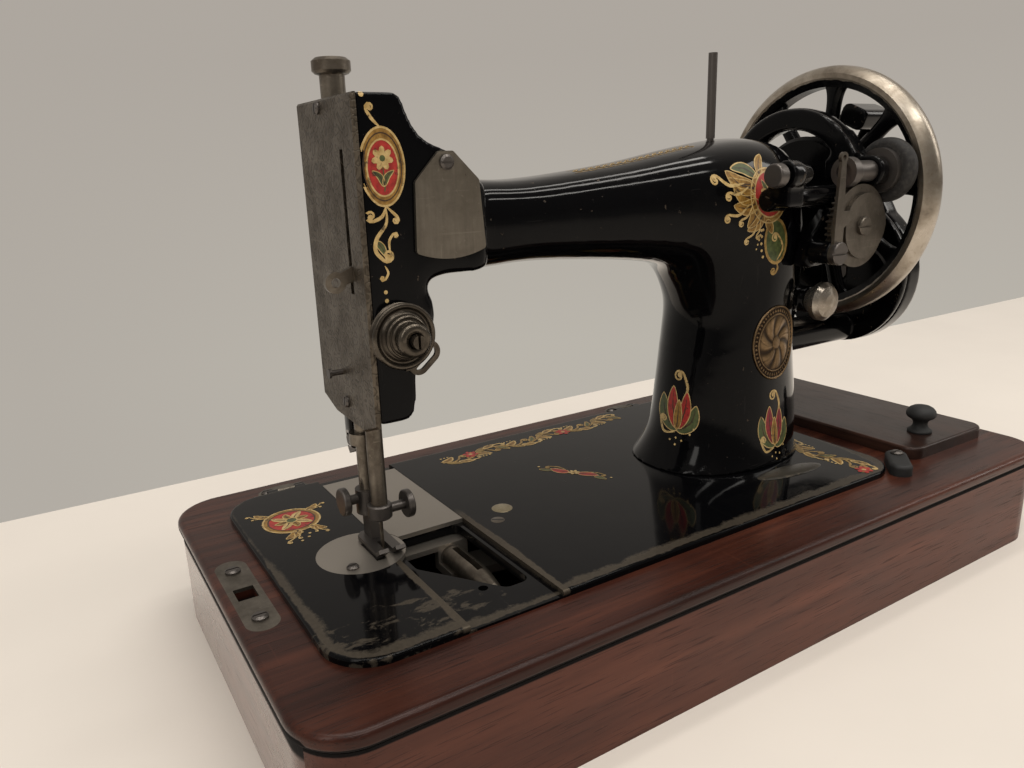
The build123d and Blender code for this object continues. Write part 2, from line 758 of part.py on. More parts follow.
def arm_casting():
    """Head, arm and pillar in one casting."""
    left = pillar_from_left - pillar_half_length
    right = pillar_from_left + pillar_half_length
    root = pad_end - pad_corner
    near, middle, far = [root + share * (left - root) for share in (0.172, 0.484, 0.779)]
    stations = [
        ((root, shaft_height + 17.0), (root, shaft_height - 18.5), 18.0),
        ((near, shaft_height + 16.5), (near, shaft_height - 19.5), 18.5),
        ((middle, shaft_height + 18.5), (middle, shaft_height - 20.5), 20.0),
        ((far + 1.0, shaft_height + 22.8), (far + 3.0, shaft_height - 24.5), 24.0),
        ((left + 14.0, shaft_height + 29.0), (left + 0.5, shaft_height - 32.0), 29.0),
        ((right - 4.0, shaft_height + 22.0), (left + 10.0, shaft_height - 50.0), 32.0),
        ((right, shaft_height - 62.0), (left + 12.0, shaft_height - 62.0), pillar_half_width),
        ((right + 4.3, 40.0), (left + 6.7, 40.0), pillar_half_width + 0.5),
        ((right + 5.4, 17.0), (left + 2.3, 17.0), pillar_half_width + 2.5),
        ((pillar_from_left + foot_half_length, bed_lip), (pillar_from_left - foot_half_length, bed_lip),
         foot_half_width)]
    arm = loft([arm_section(*station) for station in stations])
    foot = Pos(pillar_x, arm_y) * Ellipse(foot_half_length + 1, foot_half_width + 1)
    arm += slab_z(foot, bed_top, bed_top + foot_ring)
    boss_end = pillar_x + end_boss_reach
    arm += rod_x(boss_end - 25, boss_end, arm_y, shaft_z, end_boss_radius)
    lug_left = boss_end - winder_lug_length
    arm += rod_x(lug_left, boss_end, winder_pivot_y, winder_pivot_z, winder_lug_radius)
    arm += block(lug_left, boss_end, arm_y, winder_pivot_y, winder_pivot_z - winder_lug_radius,
                 winder_pivot_z + winder_lug_radius)
    arm += rod_y(stitch_seat, arm_y, stitch_x, stitch_z, stitch_boss_radius)
    crest = arm & rod_z(shaft_z, wood_top + 2 * head_top, spool_x, arm_y, spool_tenon_radius)
    crest_z = crest.bounding_box().max.Z

    z0 = wood_top
    top, bottom = z0 + head_top, z0 + head_bottom
    pad_right, pad_low, pad_high = bed_left + pad_end, shaft_z - pad_drop, shaft_z + pad_rise
    neck_rise, brow_rise = pad_low - bottom, top - pad_high
    with BuildLine() as edge:
        Polyline((head_left, top), (head_left, bottom), (head_left + 9, bottom))
        Spline((head_left + 9, bottom), (head_left + 15, bottom + 0.11 * neck_rise),
               (head_left + 17, bottom + 0.39 * neck_rise), (head_left + 26.5, bottom + 0.85 * neck_rise),
               (head_left + 40.5, pad_low), tangents=((1, 0), (1, 0)))
        Polyline((head_left + 40.5, pad_low), (pad_right, pad_low), (pad_right, pad_high))
        Spline((pad_right, pad_high), (head_left + 36.5, pad_high + 0.33 * brow_rise),
               (head_left + 25.5, pad_high + 0.49 * brow_rise),
               (head_left + 18.5, pad_high + 0.81 * brow_rise), (head_left + 13.5, top),
               tangents=((-1, 0.1), (-1, 0)))
        Line((head_left + 13.5, top), (head_left, top))
    profile = slab_y(make_face(edge.line), head_front, head_back)
    plan_right = pad_right
    plan = Pos((head_left - 20 + plan_right) / 2, arm_y) * RectangleRounded(
        plan_right - head_left + 20, 2 * head_half_width, pad_corner)
    head = profile & slab_z(plan, wood_top, wood_top + head_top + 1)
    arm += head

    guide_low = shaft_z - bar_guide_drop
    guide_high = guide_low + bar_guide_thickness
    guide = block(head_left + 1.5, cavity_right, needle_y - bar_guide_margin, presser_y + bar_guide_margin,
                  guide_low, guide_high)
    ear = block(needle_x - lifter_ear_left, needle_x + lifter_ear_right, lifter_y - lifter_ear_half,
                lifter_y + lifter_ear_half, bottom - lifter_ear_drop, bottom + 1)
    cavity = block(head_left - 1, cavity_right, head_front + head_wall, head_back - head_wall,
                   z0 + head_bottom + head_wall, z0 + head_top - head_wall)
    pocket_x = take_up_x + pocket_right
    pocket = outline((cavity_right - 1, take_up_z - 20), (pocket_x, take_up_z - 9), (pocket_x, take_up_z + 9),
                     (cavity_right - 1, take_up_z + 24))
    pocket_back = head_front + pocket_depth
    arm -= cavity
    arm -= slab_y(pocket, head_front + head_wall, pocket_back)
    arm -= block(cover_x - window_left, pocket_x, head_front - 1, head_front + head_wall + 1,
                 cover_z - window_low, cover_z - window_high)
    arm = arm + guide + ear
    arm -= rod_x(cavity_right - 1, boss_end + 1, arm_y, shaft_z, shaft_radius + running_fit)
    arm += rod_y(pocket_back - take_up_thickness - 8, pocket_back + 2, take_up_x, take_up_z,
                 take_up_pivot_radius)
    for bar_y in (needle_y, presser_y):
        arm -= rod_z(bottom - 1, guide_high + 1, needle_x, bar_y, bar_radius + running_fit)
    arm -= rod_z(z0 + head_top - head_wall - 1, z0 + head_top + 1, needle_x, presser_y,
                 pressure_stem_radius + running_fit)
    arm -= rod_z(crest_z - spool_tenon_length, crest_z + 1, spool_x, arm_y, spool_tenon_radius + seat_fit)
    arm -= rod_x(needle_x - lifter_ear_left, needle_x + lifter_ear_right, lifter_y, lifter_z,
                 lifter_pivot_radius + seat_fit)
    arm -= rod_x(lug_left - 1, boss_end + 1, winder_pivot_y, winder_pivot_z, winder_pivot_radius + seat_fit)
    arm -= rod_y(head_front - 1, head_front + tension_stud_seat, bed_left + tension_x, tension_z,
                 tension_stud_radius + seat_fit)
    arm -= rod_y(stitch_seat - 1, stitch_seat + stitch_stem_length + free_gap, stitch_x, stitch_z,
                 stitch_stem_radius + running_fit)
    arm -= Pos(cover_x, head_front, cover_z) * Rot(90, 0, 0) * rod_z(
        -screw_shank_length - 1, 1, 0, 0, screw_shank_radius + seat_fit)
    parts["arm_casting"] = arm
    return boss_end, crest_z


def head_screw(x, z):
    """Slotted screw seated on the head's front plane, driven along +Y."""
    return Pos(x, head_front, z) * Rot(90, 0, 0) * slotted_screw(2.8)


def face_and_cover():
    """Face plate, arm cover and the small screws of the head."""
    right = head_left
    left = right - face_thickness
    z0 = wood_top
    front, back = head_front + 0.2, head_back
    face = outline((front, z0 + head_top), (back, z0 + head_top), (back, z0 + head_bottom),
                   (back - 15, z0 + head_bottom - 5), (front + 14, z0 + head_bottom - 6),
                   (front, z0 + head_bottom - 1))
    face = slab_x(face, left, right)
    outer = face.faces().sort_by(Axis.X)[0].edges()
    face = chamfer(outer, 0.5 * face_thickness)
    slot_y = take_up_y
    slot_half = take_up_thickness / 2 + free_gap
    face -= block(left - 1, right + 1, slot_y - slot_half, slot_y + slot_half,
                  take_up_z - 24, take_up_z + 28)
    seats = [(head_front + 34, z0 + head_top - 3.2), (head_front + 30, z0 + head_bottom + 3)]
    screws = [needle_plate_screw]
    for y, z in seats:
        shank = rod_x(left - 1, right + 1, y, z, screw_shank_radius + seat_fit)
        face -= shank
        hole = rod_x(right - 1, right + screw_shank_length, y, z, screw_shank_radius + seat_fit)
        parts["arm_casting"] -= hole
        screws.append(Pos(left, y, z) * Rot(0, -90, 0) * slotted_screw(2.4))
    guide_stud = (head_front + 33, z0 + head_bottom + 15)
    face -= rod_x(left - 1, right + 1, *guide_stud, 1.2 + seat_fit)
    screws.append(rod_x(left - 5, right, *guide_stud, 1.2)
                  + rod_x(left - 6, left - 5, *guide_stud, 2.0))
    parts["face_plate"] = face

    apex, shoulder, hem = cover_z + 4, cover_z - 6.5, cover_z - 32
    with BuildLine() as edge:
        Polyline((cover_x - 14, hem), (cover_x - 13, shoulder), (cover_x - 3, apex), (cover_x + 3, apex),
                 (cover_x + 13.5, shoulder), (cover_x + 15.5, hem))
        ThreePointArc((cover_x + 15.5, hem), (cover_x + 0.5, hem - 3), (cover_x - 14, hem))
    cover = slab_y(make_face(edge.line), head_front - cover_thickness, head_front)
    cover = fillet(cover.edges().filter_by(Axis.Y), 1.5)
    cover -= rod_y(head_front - 5, head_front + 1, cover_x, cover_z, screw_shank_radius + running_fit)
    parts["arm_cover"] = cover
    screws.append(Pos(0, -cover_thickness - running_fit, 0) * head_screw(cover_x, cover_z))
    parts["head_screws"] = Compound(children=screws)


def tension():
    """Tension stud, discs, nut and check spring on the head's front."""
    x, z = bed_left + tension_x, tension_z
    disc = tension_disc_radius
    stud = rod_y(head_front - tension_stud_reach, head_front + tension_stud_seat, x, z, tension_stud_radius)
    stud -= block(x - 0.5, x + 0.5, head_front - 18, head_front - 14.5, z - 5, z + 5)
    parts["tension_stud"] = stud
    bore = tension_stud_radius + seat_fit
    dishes = [(bore, 0), (disc, 0), (disc, 1.0), (0.72 * disc, 2.2), (0.72 * disc, 2.6),
              (disc, 3.8), (disc, 4.8), (0.62 * disc, 6.0), (bore, 6.0)]
    parts["tension_discs"] = turned_back(dishes, x, head_front, z)
    nut = [(tension_stud_radius + running_fit, 6.1), (0.68 * disc, 6.1), (0.68 * disc, 8.0),
           (0.58 * disc, 8.4), (0.58 * disc, 9.2), (0.52 * disc, 9.6), (0.52 * disc, 14.0),
           (0.46 * disc, 14.6), (tension_stud_radius + running_fit, 14.6)]
    parts["tension_nut"] = turned_back(nut, x, head_front, z)
    loop_x, loop_z = x + 9.0, z - 10.0
    loop = Pos(loop_x, loop_z) * SlotOverall(15, 9, 40) - Pos(loop_x, loop_z) * SlotOverall(11, 5, 40)
    tab = outline((x + 1, z - disc - 1.5), (x + 5, z - disc - 1.5), (x + 8, z - disc + 1),
                  (x + 3, z - disc + 3))
    ring = slab_y(loop + tab, head_front - 1.2, head_front)
    ring -= rod_y(head_front - 5, head_front + 1, x, z, disc + free_gap)
    parts["check_spring"] = ring


def bars():
    """Needle bar, presser bar and what they carry."""
    x0, z0 = needle_x, wood_top
    parts["needle_bar"] = rod_z(z0 + needle_bar_bottom, shaft_z - needle_bar_drop, x0, needle_y, bar_radius)
    clamp_top = z0 + needle_bar_bottom
    clamp_bottom = clamp_top - clamp_height
    clamp_z = (clamp_top + clamp_bottom) / 2
    clamp = rod_z(clamp_bottom, clamp_top, x0, needle_y, clamp_radius)
    clamp = chamfer(clamp.edges().filter_by(GeomType.CIRCLE), 0.6)
    clamp -= rod_z(clamp_bottom - 1, clamp_top, x0, needle_y, needle_radius + seat_fit)
    clamp -= rod_x(x0 + needle_radius, x0 + clamp_radius + 1, needle_y, clamp_z,
                   thumb_stem_radius + seat_fit)
    parts["needle_clamp"] = clamp
    screw = thumb_screw(x0 + needle_radius + seat_fit, x0 + clamp_radius + 6, needle_y, clamp_z, 1)
    parts["clamp_screw"] = screw - rod_z(clamp_bottom, clamp_top, x0, needle_y, needle_radius + seat_fit)
    tip = clamp_top - needle_length
    needle = rod_z(tip + 4, clamp_top, x0, needle_y, needle_radius)
    point = Pos(x0, needle_y, tip + 2) * Cone(0.15, needle_radius, 4)
    parts["needle"] = needle + point

    seat = shaft_z - spring_seat_drop
    spring_top = shaft_z + spring_top_rise
    presser = rod_z(z0 + presser_bottom, shaft_z + presser_rise, x0, presser_y, bar_radius)
    presser += rod_z(seat - spring_seat_thickness, seat, x0, presser_y, spring_outer_radius)
    collar = z0 + lift_collar_height
    presser += rod_z(collar, collar + lift_collar_thickness, x0, presser_y, lift_collar_radius)
    parts["presser_bar"] = presser
    sleeve = rod_z(seat, spring_top, x0, presser_y, spring_outer_radius)
    sleeve -= rod_z(seat, spring_top, x0, presser_y, bar_radius + free_gap)
    parts["presser_spring"] = sleeve
    rise = z0 + head_top - spring_top
    stem = pressure_stem_radius
    head = pressure_head_radius
    knob = [(0, 0), (stem, 0), (stem, rise + 9), (head - 1, rise + 9.5), (head, rise + 10.5),
            (head, rise + 14), (head - 1.5, rise + 15.2), (0, rise + 15.8)]
    parts["pressure_screw"] = turned_z(knob, x0, presser_y, spring_top)

    sole = bed_top + free_gap
    foot_plate = outline((x0 - 6, needle_y - 7), (x0 + 6, needle_y - 7), (x0 + 6, presser_y + 1),
                         (x0 + 3.5, presser_y + 4), (x0 - 3.5, presser_y + 4), (x0 - 6, presser_y + 1))
    foot = slab_z(foot_plate, sole, sole + 2)
    toe = outline((needle_y - 7, sole), (needle_y - 7, sole + 2), (needle_y - 10, sole + 4.4),
                  (needle_y - 11, sole + 3))
    foot += slab_x(toe, x0 - 6, x0 + 6)
    foot -= block(x0 - 1.6, x0 + 1.6, needle_y - 12, needle_y + 3, sole - 1, sole + 6)
    clamp_low = z0 + presser_bottom - 4
    clamp_high = z0 + presser_bottom + 7
    shank = outline((needle_y + 6.5, sole + 1), (presser_y + 3, sole + 1), (presser_y + 3, clamp_low + 1),
                    (presser_y - 3, clamp_low + 1))
    foot += slab_x(shank, x0 - 2.2, x0 + 2.2)
    foot += rod_z(clamp_low, clamp_high, x0, presser_y, bar_radius + 2)
    foot -= rod_z(z0 + presser_bottom, clamp_high + 1, x0, presser_y, bar_radius + seat_fit)
    screw_z = z0 + presser_bottom + 3
    foot -= rod_x(x0 - bar_radius - 3, x0 - bar_radius + 0.1, presser_y, screw_z,
                  thumb_stem_radius + seat_fit)
    parts["presser_foot"] = foot
    screw = thumb_screw(x0 - bar_radius - seat_fit, x0 - bar_radius - 6, presser_y, screw_z, -1)
    parts["foot_screw"] = screw - parts["presser_bar"]

    pivot_y, pivot_z = lifter_y, lifter_z
    lever_left = x0 + lifter_ear_right + 0.4
    nose = pivot_z + 0.7
    lever = outline((presser_y + 3.2, nose - 2.5), (presser_y + 3.2, nose), (pivot_y - 4, nose + 0.2),
                    (pivot_y + 3, pivot_z + 4), (pivot_y + 16, pivot_z - 9), (pivot_y + 14, pivot_z - 12),
                    (pivot_y - 2, pivot_z - 4.2))
    lever = slab_x(lever, lever_left, lever_left + lifter_thickness)
    trunnion = rod_x(x0 - lifter_ear_left, lever_left, pivot_y, pivot_z, lifter_pivot_radius - running_fit)
    parts["presser_lifter"] = lever + trunnion


def take_up():
    """Take-up lever, swinging in the pocket and the face plate's slot."""
    flat = Pos(-take_up_reach / 2, 0) * Rectangle(take_up_reach, take_up_width)
    flat += Circle(2 * take_up_pivot_radius)
    flat += Pos(-take_up_reach, 0) * Circle(0.8 * take_up_width)
    flat -= Circle(take_up_pivot_radius + running_fit)
    flat -= Pos(-take_up_reach, 0) * Circle(take_up_eye_radius)
    lever = slab_y(flat, -take_up_thickness / 2, take_up_thickness / 2)
    parts["take_up_lever"] = Pos(take_up_x, take_up_y, take_up_z) * Rot(0, -take_up_angle, 0) * lever


def handwheel():
    """Arm shaft and spoked handwheel with its belt pulley."""
    hub_left = wheel_x - hub_reach
    hub_right = rim_right
    disc_right = cavity_right - free_gap
    disc_left = disc_right - shaft_disc_thickness
    shaft = rod_x(disc_left, hub_right, arm_y, shaft_z, shaft_radius)
    shaft += rod_x(disc_left, disc_right, arm_y, shaft_z, 2 * shaft_radius)
    parts["arm_shaft"] = shaft
    outer, width = wheel_radius, rim_width / 2
    inner = outer - rim_depth
    with BuildLine() as section:
        Polyline((-width, inner + 1), (-width, outer - 4))
        ThreePointArc((-width, outer - 4), (0, outer), (width, outer - 4))
        Polyline((width, outer - 4), (width, inner + 1), (width - 3, inner - web_depth),
                 (3 - width, inner - web_depth), (-width, inner + 1))
    plane = Plane(origin=(0, 0, 0), x_dir=(1, 0, 0), z_dir=(0, -1, 0))
    rim = revolve(plane * make_face(section.line), Axis.X)
    back = hub_right - wheel_x
    front = hub_left - wheel_x
    pulley_right = front + pulley_width
    hub = [(shaft_radius + seat_fit, front), (pulley_radius - 2, front), (pulley_radius, front + 2),
           (pulley_radius - 3.5, front + pulley_width / 2), (pulley_radius, pulley_right - 2),
           (pulley_radius - 2, pulley_right), (hub_radius + 4, pulley_right + 1),
           (hub_radius, pulley_right + 5), (hub_radius, back - 1), (hub_radius - 1, back),
           (shaft_radius + seat_fit, back)]
    plane_r = Plane(origin=(0, 0, 0), x_dir=(0, 0, 1), z_dir=(0, -1, 0))
    wheel = rim + revolve(plane_r * outline(*[(r, -x) for r, x in hub]), Axis.X)
    for spoke in range(spoke_count):
        angle = spoke_first_angle + 360 * spoke / spoke_count
        stations = [(hub_radius - 2, spoke_root), (0.5 * inner, spoke_waist), (0.8 * inner, spoke_waist),
                    (inner - web_depth - 2, 0.6 * spoke_flare), (inner - 1, spoke_flare)]
        spoke_shape = loft([Pos(0, 0, radius) * Ellipse(spoke_depth, half) for radius, half in stations])
        wheel += Rot(angle, 0, 0) * spoke_shape
    parts["handwheel"] = Pos(wheel_x, arm_y, shaft_z) * wheel


def hand_crank():
    """Bracket, gear cover, gears, driver arm, crank arm and handle."""
    half = gear_module * pinion_teeth / 2 + case_margin
    lobe = Pos(arm_y, shaft_z) * Circle(half)
    disc = Pos(arm_y, crank_z) * Circle(cover_radius)
    flank, flank_z = 0.9 * cover_radius, crank_z + 0.28 * cover_radius
    waist = outline((arm_y - half, shaft_z), (arm_y + half, shaft_z), (arm_y + flank, flank_z),
                    (arm_y - flank, flank_z))
    case = disc + lobe + waist
    plate = slab_x(case, bracket_left, bracket_right)
    neck_shape = Pos(arm_y, crank_z - neck_drop) * RectangleRounded(neck_width, neck_height, neck_corner)
    neck = slab_x(neck_shape, pillar_x + 0.4 * pillar_half_length, bracket_right)
    neck -= parts["arm_casting"]
    neck = neck.solids().sort_by(Axis.X)[-1]
    bracket = plate + neck
    pinion_shaft = pinion_shaft_radius
    bracket -= rod_x(bracket_left - 1, bracket_right + 1, arm_y, shaft_z, pinion_shaft + running_fit)
    bracket -= rod_x(bracket_left - 1, bracket_right + 1, arm_y, crank_z, crank_shaft_radius + running_fit)
    parts["crank_bracket"] = bracket

    shell = slab_x(case, bracket_right, cover_right)
    shell = fillet(shell.faces().sort_by(Axis.X)[-1].edges(), 2.5)
    hollow = offset(case, -cover_wall)
    shell -= slab_x(hollow, bracket_right - 1, cover_right - cover_wall)
    shell -= rod_x(bracket_right, cover_right + 1, arm_y, crank_z, crank_shaft_radius + free_gap)
    parts["gear_cover"] = shell

    pinion = slab_x(Pos(arm_y, shaft_z) * gear_outline(pinion_teeth, gear_module, -90), gear_left, gear_right)
    parts["pinion"] = pinion + rod_x(driver_left, gear_left, arm_y, shaft_z, pinion_shaft)
    gear = slab_x(Pos(arm_y, crank_z) * gear_outline(crank_teeth, gear_module, 90 + 180 / crank_teeth),
                  gear_left, gear_right)
    gear += rod_x(bracket_left, crank_arm_right, arm_y, crank_z, crank_shaft_radius)
    parts["crank_gear"] = gear

    radial = Pos(0, driver_reach / 2) * Rectangle(11, driver_reach) + Circle(pinion_shaft + 5)
    finger = Pos(0, driver_reach) * RectangleRounded(
        driver_block_length, driver_block_depth, driver_block_corner)
    arm = slab_x(radial + finger, driver_left, driver_right)
    arm += slab_x(finger, driver_left - driver_block_width, driver_left)
    arm -= rod_x(driver_left - 1, driver_right + 1, 0, 0, pinion_shaft + seat_fit)
    middle = spoke_first_angle + 180 / spoke_count
    parts["driver_arm"] = Pos(0, arm_y, shaft_z) * Rot(middle, 0, 0) * arm

    grip_y = arm_y + handle_from_axis_y
    grip_z = crank_z + handle_from_axis_z
    path = ThreePointArc((arm_y, crank_z), (arm_y + crank_bow_y, crank_z + crank_bow_z), (grip_y, grip_z))
    bar = trace(path, crank_arm_width)
    bar += Pos(arm_y, crank_z) * Circle(crank_shaft_radius + 4)
    bar += Pos(grip_y, grip_z) * Circle(handle_stem_radius + 4)
    crank = slab_x(bar, crank_arm_left, crank_arm_right)
    crank -= rod_x(crank_arm_left - 1, crank_arm_right + 1, arm_y, crank_z, crank_shaft_radius + seat_fit)
    grip_left = crank_arm_right + free_gap
    grip_right = grip_left + handle_length
    stem = rod_x(crank_arm_left, grip_right + 1.5, grip_y, grip_z, handle_stem_radius)
    stem += rod_x(grip_right + running_fit, grip_right + 2.5, grip_y, grip_z, handle_stem_radius + 2.5)
    parts["crank_arm"] = crank + stem
    bore = handle_stem_radius + running_fit
    fat, length = handle_radius, handle_length
    turning = [(bore, 0), (0.62 * fat, 0), (0.7 * fat, 0.06 * length), (0.55 * fat, 0.12 * length),
               (0.8 * fat, 0.3 * length), (fat, 0.58 * length), (0.93 * fat, 0.85 * length),
               (0.6 * fat, length), (bore, length)]
    parts["handle_grip"] = turned_x(turning, grip_left, grip_y, grip_z)


def slotted_screw_head(radius, lift):
    """Flat slotted screw head without its shank, seat at the lift."""
    head = rod_z(lift, lift + 2.2, 0, 0, radius)
    head = chamfer(head.faces().sort_by(Axis.Z)[-1].edges(), 0.5)
    return head - block(-radius, radius, -0.6, 0.6, lift + 1.2, lift + 3)


def bobbin_winder():
    """Frame, bobbin pin, spindle, tyre, worm wheel and thread guide lever."""
    y, z = winder_y, winder_z
    left = pillar_x + arch_from_pillar
    right = left + arch_width
    ring = Circle(arch_outer_radius) - Circle(arch_inner_radius)
    reach = 2 * arch_outer_radius
    sector = outline((0, 0), (reach * sin(radians(78)), reach * cos(radians(78))), (reach, reach), (0, reach),
                     (-reach, reach), (-reach * sin(radians(62)), reach * cos(radians(62))))
    arch = slab_x(Pos(arm_y, shaft_z) * (ring & sector), left, right)
    arch += slab_x(Pos(winder_pivot_y, winder_pivot_z) * Circle(winder_lug_radius), left, right)
    plate_front, plate_back = y + 6.5, y + 14.5
    wheel_xc = pillar_x + worm_wheel_from_pillar
    wheel_z = z - worm_wheel_drop
    guide = (pillar_x + guide_pivot_from_pillar, shaft_z - guide_pivot_drop)
    lever_back = y - worm_wheel_width / 2 - cam_thickness - 1.0
    lever_front = lever_back - guide_thickness
    plate = outline((guide[0] - 6, guide[1] - 5), (guide[0] - 3, guide[1] - 8), (wheel_xc + 4, guide[1] - 6),
                    (right, wheel_z), (right, z + 8), (left, z + 8), (left - 2, z - 6),
                    (guide[0] - 2, guide[1] + 8))
    frame = arch + slab_y(plate, plate_front, plate_back)
    frame += block(left, right, plate_back - 1, arm_y - arch_inner_radius * 0.7, z - 3, z + 8)
    bearing_left = wheel_xc + 7.5
    frame += rod_x(bearing_left, right, y, z, spindle_bearing_radius)
    frame += block(bearing_left, right, y, plate_back, z - spindle_bearing_radius, z + spindle_bearing_radius)
    bar_y, bar_z = y + 3.5, z - 11.5
    holder_left = pillar_x - pin_holder_from_pillar
    frame += rod_x(holder_left, left, bar_y + 6, bar_z, 5.5)
    frame += turned_x([(0, 0), (pin_holder_radius, 0), (pin_holder_radius, 0.4 * pin_holder_taper),
                       (pin_holder_nose, pin_holder_taper), (0, pin_holder_taper)], holder_left, y, z)
    frame += block(holder_left, holder_left + pin_holder_length, y - 3, bar_y + 6, bar_z - 3, z)
    stud = rod_y(y + 2.7, plate_front, wheel_xc, wheel_z, worm_stud_radius)
    frame += stud
    frame += rod_y(lever_back + running_fit, plate_front, *guide, guide_screw_radius)
    frame += rod_y(lever_front - running_fit, plate_front, *guide, guide_stud_radius)
    frame -= rod_x(bearing_left - 1, right + 1, y, z, spindle_radius + running_fit)
    frame -= rod_x(holder_left - 1, holder_left + pin_holder_taper + 1, y, z, bobbin_pin_radius + running_fit)
    frame -= rod_y(y - 3.2, plate_front - 3, wheel_xc, wheel_z, worm_wheel_radius + 0.8) - stud
    frame -= rod_x(left - 1, right + 1, winder_pivot_y, winder_pivot_z, winder_pivot_radius + running_fit)
    parts["winder_frame"] = frame
    pivot_screw = rod_x(boss_end - winder_lug_length, right + 1, winder_pivot_y, winder_pivot_z,
                        winder_pivot_radius)
    pivot_screw += rod_x(right + running_fit, right + 3, winder_pivot_y, winder_pivot_z, 5.0)
    parts["head_screws"] = Compound(children=list(parts["head_screws"].solids()) + [pivot_screw])

    tip = pillar_x + bobbin_pin_tip
    pin_left = holder_left - 3
    pin = rod_x(pin_left, tip - 4, y, z, bobbin_pin_radius)
    pin += Pos(tip - 2, y, z) * Rot(0, 90, 0) * Cone(bobbin_pin_radius, 0.6, 4)
    button = rod_x(pin_left - 5, pin_left + 0.5, y, z, bobbin_pin_button)
    button = fillet(button.edges().filter_by(GeomType.CIRCLE), 0.8)
    parts["bobbin_pin"] = pin + button
    cup_left = pillar_x + spindle_cup_from_pillar
    tyre_left = pillar_x + tyre_from_pillar
    worm_end = bearing_left - cup_left - running_fit
    flange_from = right - cup_left + free_gap
    tyre_from = tyre_left - cup_left
    tyre_to = tyre_from + tyre_width
    spindle = [(0, 0), (7.2, 0), (7.2, 5), (5.8, 6), (5.8, 7.5), (worm_radius, 8.5),
               (worm_radius, worm_end), (spindle_radius, worm_end), (spindle_radius, flange_from),
               (spindle_flange, flange_from), (spindle_flange, tyre_from), (tyre_bore, tyre_from),
               (tyre_bore, tyre_to), (spindle_flange, tyre_to), (spindle_flange - 2, tyre_to + 1.2),
               (0, tyre_to + 1.2)]
    body = turned_x(spindle, cup_left, y, z)
    body -= rod_x(cup_left - 1, cup_left + 4, y, z, spindle_cup_bore)
    parts["winder_spindle"] = body
    tyre = rod_x(tyre_left, tyre_left + tyre_width, y, z, tyre_radius)
    tyre = fillet(tyre.edges().filter_by(GeomType.CIRCLE), 0.42 * tyre_width)
    parts["winder_tyre"] = tyre - rod_x(tyre_left - 1, tyre_left + tyre_width + 1, y, z, tyre_bore)
    rim = gear_outline(worm_teeth, 2 * worm_wheel_radius / (worm_teeth + 1.8), 0)
    cheek = worm_wheel_cheek - worm_wheel_width / 2
    disc = slab_y(rim, cheek, worm_wheel_width / 2)
    disc += slab_y(Circle(worm_wheel_radius), -worm_wheel_width / 2, cheek)
    heart = []
    for step in range(-12, 12):
        turn = radians(15 * step)
        radius = cam_low + (cam_high - cam_low) * (1 - abs(turn) / pi)
        heart.append((radius * cos(turn), radius * sin(turn)))
    cam_front = worm_wheel_width / 2 + cam_thickness
    disc += slab_y(outline(*heart), -cam_front, -worm_wheel_width / 2)
    disc += Rot(90, 0, 0) * slotted_screw_head(4.6, cam_front)
    disc -= rod_y(-free_gap, worm_wheel_width, 0, 0, worm_stud_radius + running_fit)
    parts["worm_wheel"] = Pos(wheel_xc, y, wheel_z) * disc

    strip = outline((-3.2, -4), (3.4, -4), (3.4, 12), (9.5, 16), (9.5, 20), (2.8, 20), (1.6, guide_length),
                    (-1.6, guide_length), (-3.0, 20))
    strip += Pos(0, guide_length) * Circle(guide_eye_radius)
    strip -= Pos(0, guide_length) * Circle(guide_eye_bore)
    strip += Circle(guide_screw_radius)
    strip -= Circle(guide_stud_radius + running_fit)
    parts["guide_lever"] = Pos(guide[0], 0, guide[1]) * slab_y(strip, lever_front, lever_back)
    cap = Rot(90, 0, 0) * slotted_screw_head(guide_screw_radius, 0)
    parts["guide_screw"] = Pos(guide[0], lever_front - running_fit, guide[1]) * cap


def stitch_regulator():
    """Domed stitch-length knob on the pillar's front."""
    stem, wide, neck = stitch_stem_radius, stitch_radius, stitch_neck_length
    profile = [(0, -stitch_stem_length), (stem, -stitch_stem_length), (stem, free_gap),
               (stitch_neck_radius, free_gap), (stitch_neck_radius, neck),
               (0.85 * wide, neck + 0.05 * stitch_dome),
               (wide, neck + 0.22 * stitch_dome), (wide, neck + 0.55 * stitch_dome),
               (0.8 * wide, neck + 0.8 * stitch_dome), (0.4 * wide, neck + 0.96 * stitch_dome),
               (0, neck + stitch_dome)]
    parts["stitch_knob"] = turned_back(profile, stitch_x, stitch_seat, stitch_z)


